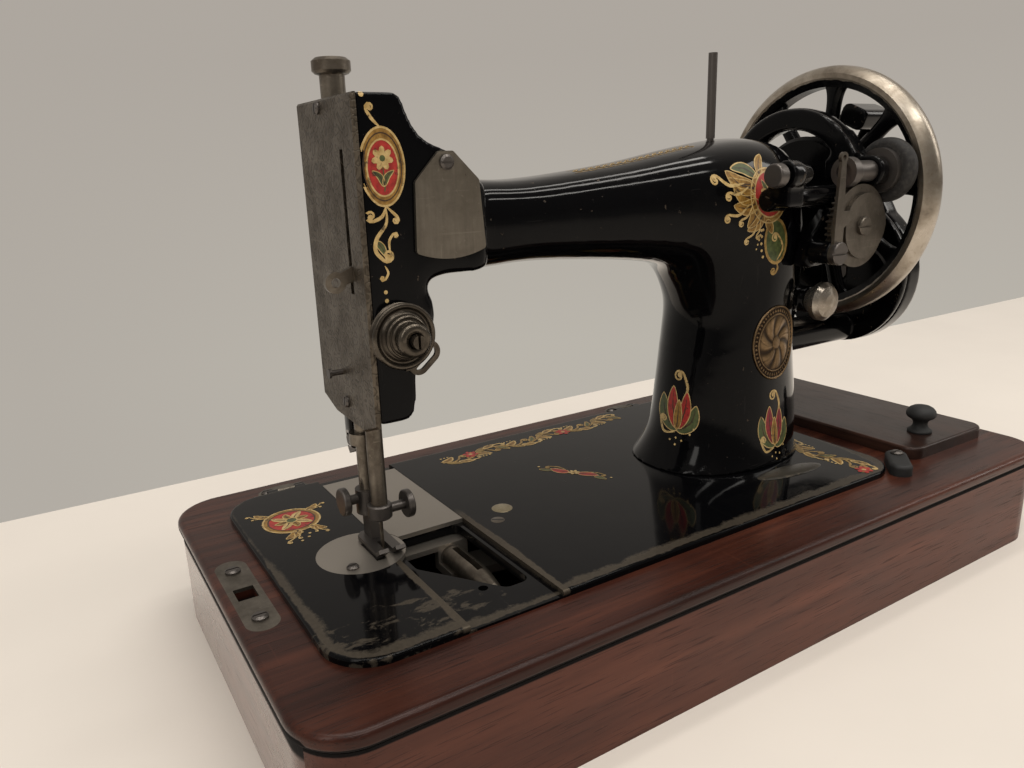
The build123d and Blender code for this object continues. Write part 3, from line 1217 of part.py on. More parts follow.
def shuttle_and_feed():
    """Shuttle carrier on its swinging lever, shuttle, and feed dog on its bar."""
    x = bed_left + shuttle_from_left
    low = bed_under - skirt_depth
    axis_z = bed_under - shuttle_radius - 1.0
    y0 = bed_front + shuttle_front_share * needle_from_front
    r, length = shuttle_radius, shuttle_length_share * needle_from_front
    bullet = [(0, 0), (0.5, 0), (0.62 * r, 0.16 * length), (0.92 * r, 0.36 * length), (r, 0.5 * length),
              (r, 0.94 * length), (0.85 * r, length), (0, length)]
    shuttle = Pos(x, y0, axis_z) * Rot(-90, 0, 0) * turned_z(bullet, 0, 0, 0)
    cradle = rod_y(y0, y0 + length + seat_fit, x, axis_z, r + running_fit)
    shuttle -= block(x - 1.4, x + 1.4, y0 + 0.4 * length, y0 + 0.9 * length, axis_z, axis_z + r + 1)
    parts["shuttle"] = shuttle
    pivot = shuttle_pivot
    rear = y0 + length
    left, right = x - lever_left, x + lever_right
    bar = outline((left, rear + 2), (left, rear - cradle_length), (pivot[0], pivot[1] - 7),
                  (pivot[0], pivot[1] + 7), (right, rear + 2))
    lever_top = low - running_fit
    lever_low = lever_top - lever_thickness
    carrier = slab_z(bar + Pos(*pivot) * Circle(10), lever_low, lever_top)
    plate_high = bed_under - carrier_gap
    wall_front = rear + seat_fit
    carrier += block(left, right, wall_front, rear + carrier_wall, lever_low, plate_high)
    carrier += block(x - carrier_arm, right, wall_front, rear + carrier_depth, plate_high - carrier_plate,
                     plate_high)
    carrier += block(x - cradle_half, x + cradle_half, rear - cradle_length, rear, lever_low,
                     axis_z - 0.78 * r)
    carrier -= cradle
    carrier -= rod_z(lever_low - 1, lever_top + 1, *pivot, shuttle_stud_radius + running_fit)
    parts["shuttle_carrier"] = carrier
    left, right = feed_x - feed_width / 2, feed_x + feed_width / 2
    front, back = needle_y - feed_length / 2, needle_y + feed_length / 2
    top = bed_top - free_gap
    dog = block(left, right, front, back, bed_under - feed_bar_drop, top)
    notch = outline((-0.5, 0.1), (0.5, 0.1), (0, -0.8))
    for step in range(int(feed_length / feed_pitch)):
        groove = Pos(front + feed_pitch * (step + 0.5), top) * notch
        dog -= slab_x(groove, left - 1, right + 1)
    dog += block(left, right, front, bed_rear - bed_seat - skirt_wall - 3 * feed_stroke,
                 bed_under - 2 * feed_bar_drop, bed_under - feed_bar_drop)
    parts["feed_dog"] = dog


def spool_pin():
    """Spool pin on top of the pillar."""
    shoulder = spool_crest + spool_shoulder
    pin = rod_z(shoulder, shoulder + spool_pin_length, spool_x, arm_y, spool_pin_radius)
    pin += rod_z(spool_crest - spool_tenon_length, shoulder, spool_x, arm_y, spool_tenon_radius)
    parts["spool_pin"] = pin


base_boards()
base_metal()
compartment_lid()
needle_plate_screw = bed_casting()
boss_end, spool_crest = arm_casting()
face_and_cover()
tension()
bars()
take_up()
handwheel()
hand_crank()
bobbin_winder()
stitch_regulator()
shuttle_and_feed()
spool_pin()

os.makedirs("parts", exist_ok=True)
for name, shape in parts.items():
    export_step(shape, f"parts/{name}.step")
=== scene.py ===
"""Looks of a hand-crank sewing machine hinged on its wooden case base."""
import logging
import math
from dataclasses import dataclass, field
from enum import Enum
from typing import Callable, Optional, Sequence, Union

import bmesh
import bpy
from mathutils import Matrix, Vector
from mathutils.bvhtree import BVHTree
from mathutils.geometry import interpolate_bezier


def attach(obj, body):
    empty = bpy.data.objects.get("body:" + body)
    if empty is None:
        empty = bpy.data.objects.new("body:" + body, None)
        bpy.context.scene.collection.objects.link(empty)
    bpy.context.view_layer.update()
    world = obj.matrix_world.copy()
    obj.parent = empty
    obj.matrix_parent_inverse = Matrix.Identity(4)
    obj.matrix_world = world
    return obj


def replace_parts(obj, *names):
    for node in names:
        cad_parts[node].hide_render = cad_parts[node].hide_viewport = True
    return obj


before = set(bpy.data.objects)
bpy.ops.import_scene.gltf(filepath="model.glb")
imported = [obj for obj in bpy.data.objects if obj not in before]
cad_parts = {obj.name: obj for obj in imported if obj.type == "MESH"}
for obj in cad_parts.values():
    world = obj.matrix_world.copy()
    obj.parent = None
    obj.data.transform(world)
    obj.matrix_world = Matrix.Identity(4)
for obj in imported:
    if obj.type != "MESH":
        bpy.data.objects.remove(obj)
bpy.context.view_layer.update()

log = logging.getLogger("sewing_machine")
Colour = tuple[float, float, float]
Feed = Union[bpy.types.NodeSocket, float, Sequence[float]]
Profile = tuple[tuple[float, float], ...]
MM = 0.001
SMOOTHING = 0.5


class Axis(Enum):
    """Row axes, as unit vectors."""

    X = Vector((1.0, 0.0, 0.0))
    Y = Vector((0.0, 1.0, 0.0))
    Z = Vector((0.0, 0.0, 1.0))


class Paint(Enum):
    """Paints of the transfer ornaments, in the order of their material slots."""

    GOLD = 0
    RED = 1
    GREEN = 2
    STRAW = 3
    UMBER = 4
    AMBER = 5
    CRIMSON = 6


class Wiring:
    """Adds and links nodes in one shader node tree."""

    def __init__(self, tree: bpy.types.NodeTree) -> None:
        """Keeps the tree that the nodes go into."""
        self.tree = tree

    def add(self, kind: str, feeds: Optional[dict] = None, **settings: object) -> bpy.types.Node:
        """Adds a node, sets its options and feeds its sockets.

        Args:
            kind: Node type name.
            feeds: Socket name or place to a constant or another node's socket.
            settings: Options of the node.

        Returns:
            The new node.
        """
        node = self.tree.nodes.new(kind)
        for option, value in settings.items():
            setattr(node, option, value)
        for socket, value in (feeds or {}).items():
            self.feed(node.inputs[socket], value)
        return node

    def feed(self, socket: bpy.types.NodeSocket, value: Feed) -> None:
        """Links or sets one input socket.

        Args:
            socket: Input socket.
            value: Another node's output, a number, a vector or a colour.
        """
        if isinstance(value, bpy.types.NodeSocket):
            self.tree.links.new(value, socket)
        elif isinstance(value, (int, float)):
            socket.default_value = value
        elif socket.type == "RGBA" and len(value) == 3:
            socket.default_value = (*value, 1.0)
        else:
            socket.default_value = tuple(value)

    def glance(self, low: float, high: float, top: float) -> bpy.types.NodeSocket:
        """Returns a weight that grows as the surface turns from the eye."""
        facing = self.add("ShaderNodeLayerWeight", {"Blend": 0.5}).outputs["Facing"]
        return self.span(facing, low, high, 0.0, top)

    def coords(self) -> bpy.types.NodeSocket:
        """Returns the piece's own coordinates, in metres."""
        return self.add("ShaderNodeTexCoord").outputs["Object"]

    def parts(self, vector: Feed) -> list[bpy.types.NodeSocket]:
        """Returns the X, Y and Z of a vector."""
        return list(self.add("ShaderNodeSeparateXYZ", {0: vector}).outputs)

    def mapped(self, vector: Feed, scale: Sequence[float],
               turn: Sequence[float] = (0, 0, 0)) -> bpy.types.NodeSocket:
        """Turns and scales a vector.

        Args:
            vector: Coordinates.
            scale: Scale along each axis.
            turn: Turn about each axis, in degrees.

        Returns:
            The mapped coordinates.
        """
        radians = [math.radians(angle) for angle in turn]
        feeds = {"Vector": vector, "Scale": scale, "Rotation": radians}
        return self.add("ShaderNodeMapping", feeds).outputs[0]

    def noise(self, vector: Feed, scale: Feed, detail: float = 4.0, rough: float = 0.55,
              swirl: float = 0.0) -> bpy.types.NodeSocket:
        """Cloudy noise from 0 to 1."""
        return self.add("ShaderNodeTexNoise", {"Vector": vector, "Scale": scale, "Detail": detail,
                                               "Roughness": rough, "Distortion": swirl}).outputs[0]

    def cells(self, vector: Feed, scale: Feed) -> bpy.types.NodeSocket:
        """Distance to the nearest of many scattered points."""
        return self.add("ShaderNodeTexVoronoi", {"Vector": vector, "Scale": scale}).outputs["Distance"]

    def calc(self, operation: str, first: Feed, second: Feed = 0.0) -> bpy.types.NodeSocket:
        """Arithmetic on one or two values."""
        return self.add("ShaderNodeMath", {0: first, 1: second}, operation=operation).outputs[0]

    def times(self, first: Feed, second: Feed) -> bpy.types.NodeSocket:
        """Returns the product of two values."""
        return self.calc("MULTIPLY", first, second)

    def plus(self, first: Feed, second: Feed) -> bpy.types.NodeSocket:
        """Returns the sum of two values."""
        return self.calc("ADD", first, second)

    def minus(self, first: Feed, second: Feed) -> bpy.types.NodeSocket:
        """Returns the first value less the second."""
        return self.calc("SUBTRACT", first, second)

    def most(self, first: Feed, second: Feed) -> bpy.types.NodeSocket:
        """Returns the larger of two values."""
        return self.calc("MAXIMUM", first, second)

    def apart(self, first: Feed, second: Feed) -> bpy.types.NodeSocket:
        """Returns how far two values lie apart."""
        return self.calc("ABSOLUTE", self.minus(first, second))

    def hypot(self, first: Feed, second: Feed) -> bpy.types.NodeSocket:
        """Returns the length of a step along two square axes."""
        return self.calc("SQRT", self.plus(self.calc("POWER", first, 2.0), self.calc("POWER", second, 2.0)))

    def span(self, value: Feed, low: Feed, high: Feed, to_low: Feed = 0.0,
             to_high: Feed = 1.0) -> bpy.types.NodeSocket:
        """Maps a value from one range to another and holds it there."""
        return self.add("ShaderNodeMapRange", {"Value": value, "From Min": low, "From Max": high,
                                               "To Min": to_low, "To Max": to_high}).outputs[0]

    def blend(self, mask: Feed, first: Feed, second: Feed) -> bpy.types.NodeSocket:
        """Colour between two, by a mask."""
        return self.add("ShaderNodeMix", {"Factor": mask, 6: first, 7: second}, data_type="RGBA").outputs[2]

    def ramp(self, value: Feed, stops: Sequence[tuple[float, Colour]]) -> bpy.types.NodeSocket:
        """Colour along a ramp.

        Args:
            value: Place along the ramp, 0 to 1.
            stops: Places and their colours.

        Returns:
            The colour.
        """
        node = self.add("ShaderNodeValToRGB", {"Fac": value})
        band = node.color_ramp
        while len(band.elements) < len(stops):
            band.elements.new(0.5)
        for element, (place, colour) in zip(band.elements, stops):
            element.position = place
            element.color = (*colour, 1.0)
        return node.outputs["Color"]

    def bump(self, height: Feed, depth: float, strength: float = 1.0) -> bpy.types.NodeSocket:
        """Normal of a surface raised by a height."""
        return self.add("ShaderNodeBump", {"Height": height, "Distance": depth,
                                           "Strength": strength}).outputs[0]


class SharedEffects:
    """Shader node groups that several finishes use."""

    @staticmethod
    def group(name: str, inputs: dict[str, Optional[float]], outputs: Sequence[str],
              build: Callable[[Wiring, bpy.types.Node, bpy.types.Node], None]) -> bpy.types.NodeTree:
        """Returns a group, made on its first use.

        Args:
            name: Name of the group.
            inputs: Input names; a number is a value's default and None makes a vector.
            outputs: Output names, all values.
            build: Wires the group's inside between its input and output nodes.

        Returns:
            The group's node tree.
        """
        if name in bpy.data.node_groups:
            return bpy.data.node_groups[name]
        tree = bpy.data.node_groups.new(name, "ShaderNodeTree")
        for label, default in inputs.items():
            kind = "NodeSocketVector" if default is None else "NodeSocketFloat"
            socket = tree.interface.new_socket(label, in_out="INPUT", socket_type=kind)
            if default is not None:
                socket.default_value = default
        for label in outputs:
            tree.interface.new_socket(label, in_out="OUTPUT", socket_type="NodeSocketFloat")
        wiring = Wiring(tree)
        build(wiring, wiring.add("NodeGroupInput"), wiring.add("NodeGroupOutput"))
        return tree

    @classmethod
    def scratches(cls, wiring: Wiring, vector: Feed, scale: float, share: float) -> bpy.types.NodeSocket:
        """Mask of fine crossing scratches.

        Args:
            wiring: Tree that the group goes into.
            vector: Coordinates.
            scale: Scratches per metre.
            share: How much of the surface is scratched, 0 to 1.

        Returns:
            The mask.
        """

        def build(inner: Wiring, start: bpy.types.Node, end: bpy.types.Node) -> None:
            """Wires three sets of stretched noise.

            Args:
                inner: The group's tree.
                start: Its input node.
                end: Its output node.
            """
            total: Feed = 0.0
            for turn, stretch in (((12, 8, 31), (1, 0.03, 1)), ((-24, 17, -52), (0.03, 1, 1)),
                                  ((41, -9, 77), (1, 1, 0.04))):
                vector_in = inner.mapped(start.outputs["Vector"], stretch, turn)
                lines = inner.noise(vector_in, start.outputs["Scale"], 2.0, 0.6)
                low = inner.minus(0.78, inner.times(start.outputs["Share"], 0.2))
                line = inner.span(lines, low, inner.plus(low, 0.05))
                total = inner.most(total, line)
            inner.feed(end.inputs["Mask"], total)

        tree = cls.group("fine_scratches", {"Vector": None, "Scale": 900.0, "Share": 0.5}, ["Mask"], build)
        feeds = {"Vector": vector, "Scale": scale, "Share": share}
        return wiring.add("ShaderNodeGroup", feeds, node_tree=tree).outputs["Mask"]

    @classmethod
    def blotches(cls, wiring: Wiring, vector: Feed, scale: float, low: Feed,
                 high: Feed) -> bpy.types.NodeSocket:
        """Mask of soft-edged patches.

        Args:
            wiring: Tree that the group goes into.
            vector: Coordinates.
            scale: Patches per metre.
            low: Noise value where patches begin.
            high: Noise value where they are full.

        Returns:
            The mask.
        """

        def build(inner: Wiring, start: bpy.types.Node, end: bpy.types.Node) -> None:
            """Wires noise with a fine ragged edge."""
            coarse = inner.noise(start.outputs["Vector"], start.outputs["Scale"], 5.0, 0.6, 0.4)
            inner.feed(end.inputs["Mask"], inner.span(coarse, start.outputs["Low"], start.outputs["High"]))

        inputs = {"Vector": None, "Scale": 50.0, "Low": 0.55, "High": 0.65}
        tree = cls.group("patches", inputs, ["Mask"], build)
        feeds = {"Vector": vector, "Scale": scale, "Low": low, "High": high}
        return wiring.add("ShaderNodeGroup", feeds, node_tree=tree).outputs["Mask"]

    @classmethod
    def rounded_plate(cls, wiring: Wiring, vector: Feed, centre: Sequence[float], half: Sequence[float],
                      corner: float) -> bpy.types.NodeSocket:
        """Distance in from the edge of a round-cornered plate seen in plan.

        Args:
            wiring: Tree that the group goes into.
            vector: Coordinates.
            centre: Plan centre, in metres.
            half: Half length and half width, in metres.
            corner: Corner radius, in metres.

        Returns:
            The distance, positive inside, in metres.
        """

        def build(inner: Wiring, start: bpy.types.Node, end: bpy.types.Node) -> None:
            """Wires the signed distance of a rounded rectangle.

            Args:
                inner: The group's tree.
                start: Its input node.
                end: Its output node.
            """
            x, y, _ = inner.parts(start.outputs["Vector"])
            over = []
            for place, middle, reach in ((x, "Centre X", "Half X"), (y, "Centre Y", "Half Y")):
                away = inner.apart(place, start.outputs[middle])
                core = inner.minus(start.outputs[reach], start.outputs["Corner"])
                over.append(inner.minus(away, core))
            plus = [inner.most(value, 0.0) for value in over]
            inside = inner.calc("MINIMUM", inner.most(*over), 0.0)
            outline = inner.minus(inner.plus(inner.hypot(*plus), inside), start.outputs["Corner"])
            inner.feed(end.inputs["Depth"], inner.times(outline, -1.0))

        inputs = {"Vector": None, "Centre X": 0.0, "Centre Y": 0.0, "Half X": 0.1, "Half Y": 0.1,
                  "Corner": 0.01}
        tree = cls.group("plate_depth", inputs, ["Depth"], build)
        feeds = dict(zip(inputs, (vector, *centre, *half, corner)))
        return wiring.add("ShaderNodeGroup", feeds, node_tree=tree).outputs["Depth"]


def shaded(colour: Colour, share: float) -> Colour:
    """Returns a colour made darker or lighter."""
    return tuple(share * part for part in colour)


def surface(name: str) -> tuple[bpy.types.Material, Wiring, bpy.types.Node]:
    """Starts a material with a Principled shader.

    Args:
        name: Material name.

    Returns:
        The material, its wiring and its shader.
    """
    material = bpy.data.materials.new(name)
    material.use_nodes = True
    wiring = Wiring(material.node_tree)
    shader = next(n for n in material.node_tree.nodes if n.type == "BSDF_PRINCIPLED")
    return material, wiring, shader


@dataclass(frozen=True)
class Finish:
    """A finish of one or more pieces; each kind wires its own nodes."""

    name: str

    def material(self) -> bpy.types.Material:
        """Returns the finish's material, made on its first use."""
        if self.name in bpy.data.materials:
            return bpy.data.materials[self.name]
        material, wiring, shader = surface(self.name)
        self.wire(wiring, shader)
        return material

    def wire(self, wiring: Wiring, shader: bpy.types.Node) -> None:
        """Wires the finish into a new material."""
        raise NotImplementedError


@dataclass(frozen=True)
class Japan(Finish):
    """Glossy black stoving enamel over iron, with fine scratches and chips."""

    colour: Colour = (0.0017, 0.0017, 0.0021)
    bare: Colour = (0.085, 0.066, 0.05)
    chips: float = 0.69
    gloss: float = 0.05
    sheen: float = 0.12
    coat: float = 0.8

    def wear(self, wiring: Wiring, coords: Feed) -> bpy.types.NodeSocket:
        """Returns the mask of chipped places."""
        return SharedEffects.blotches(wiring, coords, 260.0, self.chips, self.chips + 0.02)

    def wire(self, wiring: Wiring, shader: bpy.types.Node) -> None:
        """Wires enamel, scratches and chips.

        Args:
            wiring: The material\'s tree.
            shader: Its shader.
        """
        coords = wiring.coords()
        worn = self.wear(wiring, coords)
        scratch = SharedEffects.scratches(wiring, coords, 420.0, 0.35)
        haze = wiring.noise(coords, 38.0, 5.0, 0.6)
        enamel = wiring.blend(wiring.times(scratch, 0.12), self.colour, (0.045, 0.04, 0.036))
        dusty = wiring.blend(wiring.span(haze, 0.5, 0.8, 0.0, 0.06), enamel, (0.03, 0.027, 0.024))
        stained = wiring.blend(wiring.noise(coords, 700.0, 3.0), self.bare, shaded(self.bare, 0.45))
        wiring.feed(shader.inputs["Base Color"], wiring.blend(worn, dusty, stained))
        shader.inputs["Specular IOR Level"].default_value = self.sheen
        coat = wiring.times(wiring.glance(0.3, 0.8, self.coat), wiring.span(worn, 0.0, 1.0, 1.0, 0.0))
        wiring.feed(shader.inputs["Coat Weight"], coat)
        shader.inputs["Coat Roughness"].default_value = self.gloss
        gloss = wiring.span(haze, 0.3, 0.8, self.gloss, self.gloss + 0.09)
        rough = wiring.plus(gloss, wiring.times(scratch, 0.18))
        wiring.feed(shader.inputs["Roughness"], wiring.most(rough, wiring.times(worn, 0.46)))
        wiring.feed(shader.inputs["Metallic"], wiring.times(worn, 0.55))
        ripple = wiring.noise(coords, 95.0, 2.0, 0.4)
        relief = wiring.minus(wiring.times(ripple, 0.8), wiring.times(worn, 0.5))
        wiring.feed(shader.inputs["Normal"], wiring.bump(relief, 0.00016, 0.3))


@dataclass(frozen=True)
class BedJapan(Japan):
    """Bed enamel, rubbed to the metal along its edges and where the work slides."""

    sheen: float = 0.11
    coat: float = 0.22
    bare: Colour = (0.108, 0.089, 0.067)
    centre: tuple[float, float] = (-0.0385, 0.0035)
    half: tuple[float, float] = (0.154, 0.0825)
    corner: float = 0.02
    rail_from: float = -0.1435
    rail_to: float = -0.1025
    rail_edge: float = 0.0012
    border: tuple[float, float] = (0.0046, 0.0092)
    plate_top: float = 0.056

    def wear(self, wiring: Wiring, coords: Feed) -> bpy.types.NodeSocket:
        """Returns the mask of the rubbed border, rails and front patches.

        Args:
            wiring: The material's tree.
            coords: The piece's coordinates.

        Returns:
            The mask.
        """
        depth = SharedEffects.rounded_plate(wiring, coords, self.centre, self.half, self.corner)
        ragged = wiring.noise(coords, 46.0, 10.0, 0.74)
        x, y, z = wiring.parts(coords)
        left = wiring.times(wiring.span(x, -0.155, -0.175), wiring.span(y, 0.035, -0.035, 0.0, 0.9))
        near = wiring.most(wiring.span(y, -0.02, -0.06), left)
        width = wiring.span(ragged, 0.36, 0.66, *self.border)
        reach = wiring.times(width, wiring.span(near, 0.0, 1.0, 0.3, 1.0))
        inside = wiring.span(wiring.minus(reach, depth), 0.0, 0.0019)
        kept = wiring.span(ragged, 0.4, 0.62, 0.0017, 0.0003)
        outside = wiring.span(wiring.minus(depth, kept), 0.0, 0.0005)
        edge = wiring.times(wiring.times(inside, outside), 0.8)
        rails: Feed = 0.0
        for place in (self.rail_from - self.rail_edge, self.rail_to + self.rail_edge):
            reach = wiring.span(ragged, 0.3, 0.7, 0.0012, 0.0032)
            rail = wiring.span(wiring.minus(reach, wiring.apart(x, place)), 0.0, 0.0007)
            rails = wiring.most(rails, rail)
        level = wiring.span(z, self.plate_top - 0.0022, self.plate_top - 0.0012)
        rails = wiring.times(wiring.times(rails, wiring.span(y, 0.012, 0.002)), level)
        front = wiring.times(wiring.span(y, -0.022, -0.055), wiring.span(x, -0.085, -0.145))
        patch_low = wiring.span(front, 0.0, 1.0, 0.78, 0.525)
        streak = wiring.mapped(coords, (0.55, 1.0, 1.0), (0, 0, 35))
        patches = SharedEffects.blotches(wiring, streak, 170.0, patch_low, wiring.plus(patch_low, 0.07))
        speck_low = wiring.span(front, 0.0, 1.0, 0.80, 0.62)
        specks = SharedEffects.blotches(wiring, coords, 900.0, speck_low, 0.83)
        rubbed = wiring.most(wiring.times(patches, 0.7), wiring.times(specks, 0.6))
        return wiring.most(wiring.most(edge, rails), rubbed)


@dataclass(frozen=True)
class WheelJapan(Japan):
    """Handwheel: enamelled spokes and a worn nickelled rim, by distance from the shaft."""

    axis_y: float = -0.002
    axis_z: float = 0.1915
    rim_from: float = 0.0607
    rim: Colour = (0.47, 0.42, 0.355)

    def wire(self, wiring: Wiring, shader: bpy.types.Node) -> None:
        """Wires enamel inside and nickel on the rim.

        Args:
            wiring: The material\'s tree.
            shader: Its shader.
        """
        coords = wiring.coords()
        _, y, z = wiring.parts(coords)
        radius = wiring.hypot(wiring.minus(y, self.axis_y), wiring.minus(z, self.axis_z))
        ragged = wiring.noise(coords, 160.0, 5.0, 0.6)
        start = wiring.span(ragged, 0.3, 0.7, self.rim_from - 0.0004, self.rim_from + 0.0006)
        nickel = wiring.span(wiring.minus(radius, start), 0.0, 0.0004)
        tarnish = wiring.noise(coords, 42.0, 7.0, 0.66, 0.3)
        metal = wiring.ramp(tarnish, [(0.30, (0.17, 0.14, 0.11)), (0.45, (0.34, 0.295, 0.24)),
                                      (0.58, self.rim), (0.75, (0.54, 0.49, 0.43))])
        scratch = SharedEffects.scratches(wiring, coords, 520.0, 0.6)
        metal = wiring.blend(wiring.times(scratch, 0.3), metal, (0.28, 0.22, 0.16))
        wiring.feed(shader.inputs["Base Color"], wiring.blend(nickel, self.colour, metal))
        wiring.feed(shader.inputs["Metallic"], nickel)
        shader.inputs["Specular IOR Level"].default_value = self.sheen
        dull = wiring.span(tarnish, 0.3, 0.7, 0.42, 0.24)
        black = wiring.span(ragged, 0.3, 0.7, 0.10, 0.26)
        rough = wiring.plus(wiring.times(nickel, dull), wiring.times(wiring.minus(1.0, nickel), black))
        wiring.feed(shader.inputs["Roughness"], wiring.plus(rough, wiring.times(scratch, 0.08)))
        wiring.feed(shader.inputs["Normal"], wiring.bump(ragged, 0.0002, 0.25))


@dataclass(frozen=True)
class Metal(Finish):
    """Bare or plated metal with brushing, tarnish and spots."""

    light: Colour = (0.5, 0.45, 0.38)
    dark: Colour = (0.2, 0.16, 0.12)
    shine: float = 0.3
    dullness: float = 0.5
    brushing: tuple[float, float, float] = (1.0, 1.0, 1.0)
    spots: float = 0.69
    fineness: float = 80.0
    relief: float = 0.3

    def wire(self, wiring: Wiring, shader: bpy.types.Node) -> None:
        """Wires tarnish, brushing and rust spots.

        Args:
            wiring: The material\'s tree.
            shader: Its shader.
        """
        coords = wiring.coords()
        tarnish = wiring.noise(coords, self.fineness, 7.0, 0.65, 0.25)
        brushed = wiring.noise(wiring.mapped(coords, self.brushing), 900.0, 3.0, 0.6)
        spots = SharedEffects.blotches(wiring, coords, 6.0 * self.fineness, self.spots, self.spots + 0.08)
        scratch = SharedEffects.scratches(wiring, coords, 640.0, 0.6)
        base = wiring.blend(wiring.span(tarnish, 0.36, 0.64), self.dark, self.light)
        lined = wiring.blend(wiring.span(brushed, 0.35, 0.7, 0.0, 0.35), base, shaded(self.light, 0.55))
        rusty = wiring.blend(wiring.times(spots, 0.7), lined, (0.055, 0.036, 0.024))
        bright = wiring.blend(wiring.times(scratch, 0.35), rusty, shaded(self.light, 1.35))
        wiring.feed(shader.inputs["Base Color"], bright)
        shader.inputs["Metallic"].default_value = 0.92
        rough = wiring.span(tarnish, 0.3, 0.7, self.dullness, self.shine)
        wiring.feed(shader.inputs["Roughness"], wiring.plus(rough, wiring.times(spots, 0.2)))
        height = wiring.minus(wiring.times(brushed, 0.5), wiring.times(scratch, 0.4))
        wiring.feed(shader.inputs["Normal"], wiring.bump(height, 0.0001, self.relief))


@dataclass(frozen=True)
class EngravedMetal(Metal):
    """Face-plate steel with a fine engraved scroll ground."""

    rows: float = 235.0
    wander: float = 0.0045
    rings: float = 17.0

    def wire(self, wiring: Wiring, shader: bpy.types.Node) -> None:
        """Wires the plain metal, then cuts the engraving into it.

        Args:
            wiring: The material\'s tree.
            shader: Its shader.
        """
        super().wire(wiring, shader)
        coords = wiring.coords()
        drift = wiring.add("ShaderNodeTexNoise", {"Vector": coords, "Scale": self.rows, "Detail": 1.0})
        feeds = {0: drift.outputs["Color"], 1: (self.wander,) * 3, 2: coords}
        bent = wiring.add("ShaderNodeVectorMath", feeds, operation="MULTIPLY_ADD").outputs[0]
        rings = wiring.calc("SINE", wiring.times(wiring.cells(bent, self.rows), self.rings))
        cut = wiring.span(rings, 0.1, 0.8)
        old = shader.inputs["Base Color"].links[0].from_socket
        engraved = wiring.blend(wiring.times(cut, 0.5), old, shaded(self.dark, 0.35))
        wiring.feed(shader.inputs["Base Color"], engraved)
        wiring.feed(shader.inputs["Normal"], wiring.bump(wiring.times(cut, -1.0), 0.00022, 0.55))


@dataclass(frozen=True)
class ReliefMetal(Metal):
    """Struck metal, dark in its hollows and rubbed bright on its raised parts."""

    hollow: Colour = (0.022, 0.014, 0.009)
    attribute: str = "relief"

    def wire(self, wiring: Wiring, shader: bpy.types.Node) -> None:
        """Wires the plain metal, then darkens the hollows by the mesh's relief.

        Args:
            wiring: The material\'s tree.
            shader: Its shader.
        """
        super().wire(wiring, shader)
        height = wiring.add("ShaderNodeAttribute", attribute_name=self.attribute).outputs["Fac"]
        old = shader.inputs["Base Color"].links[0].from_socket
        struck = wiring.blend(wiring.span(height, 0.12, 0.55), self.hollow, old)
        wiring.feed(shader.inputs["Base Color"], struck)


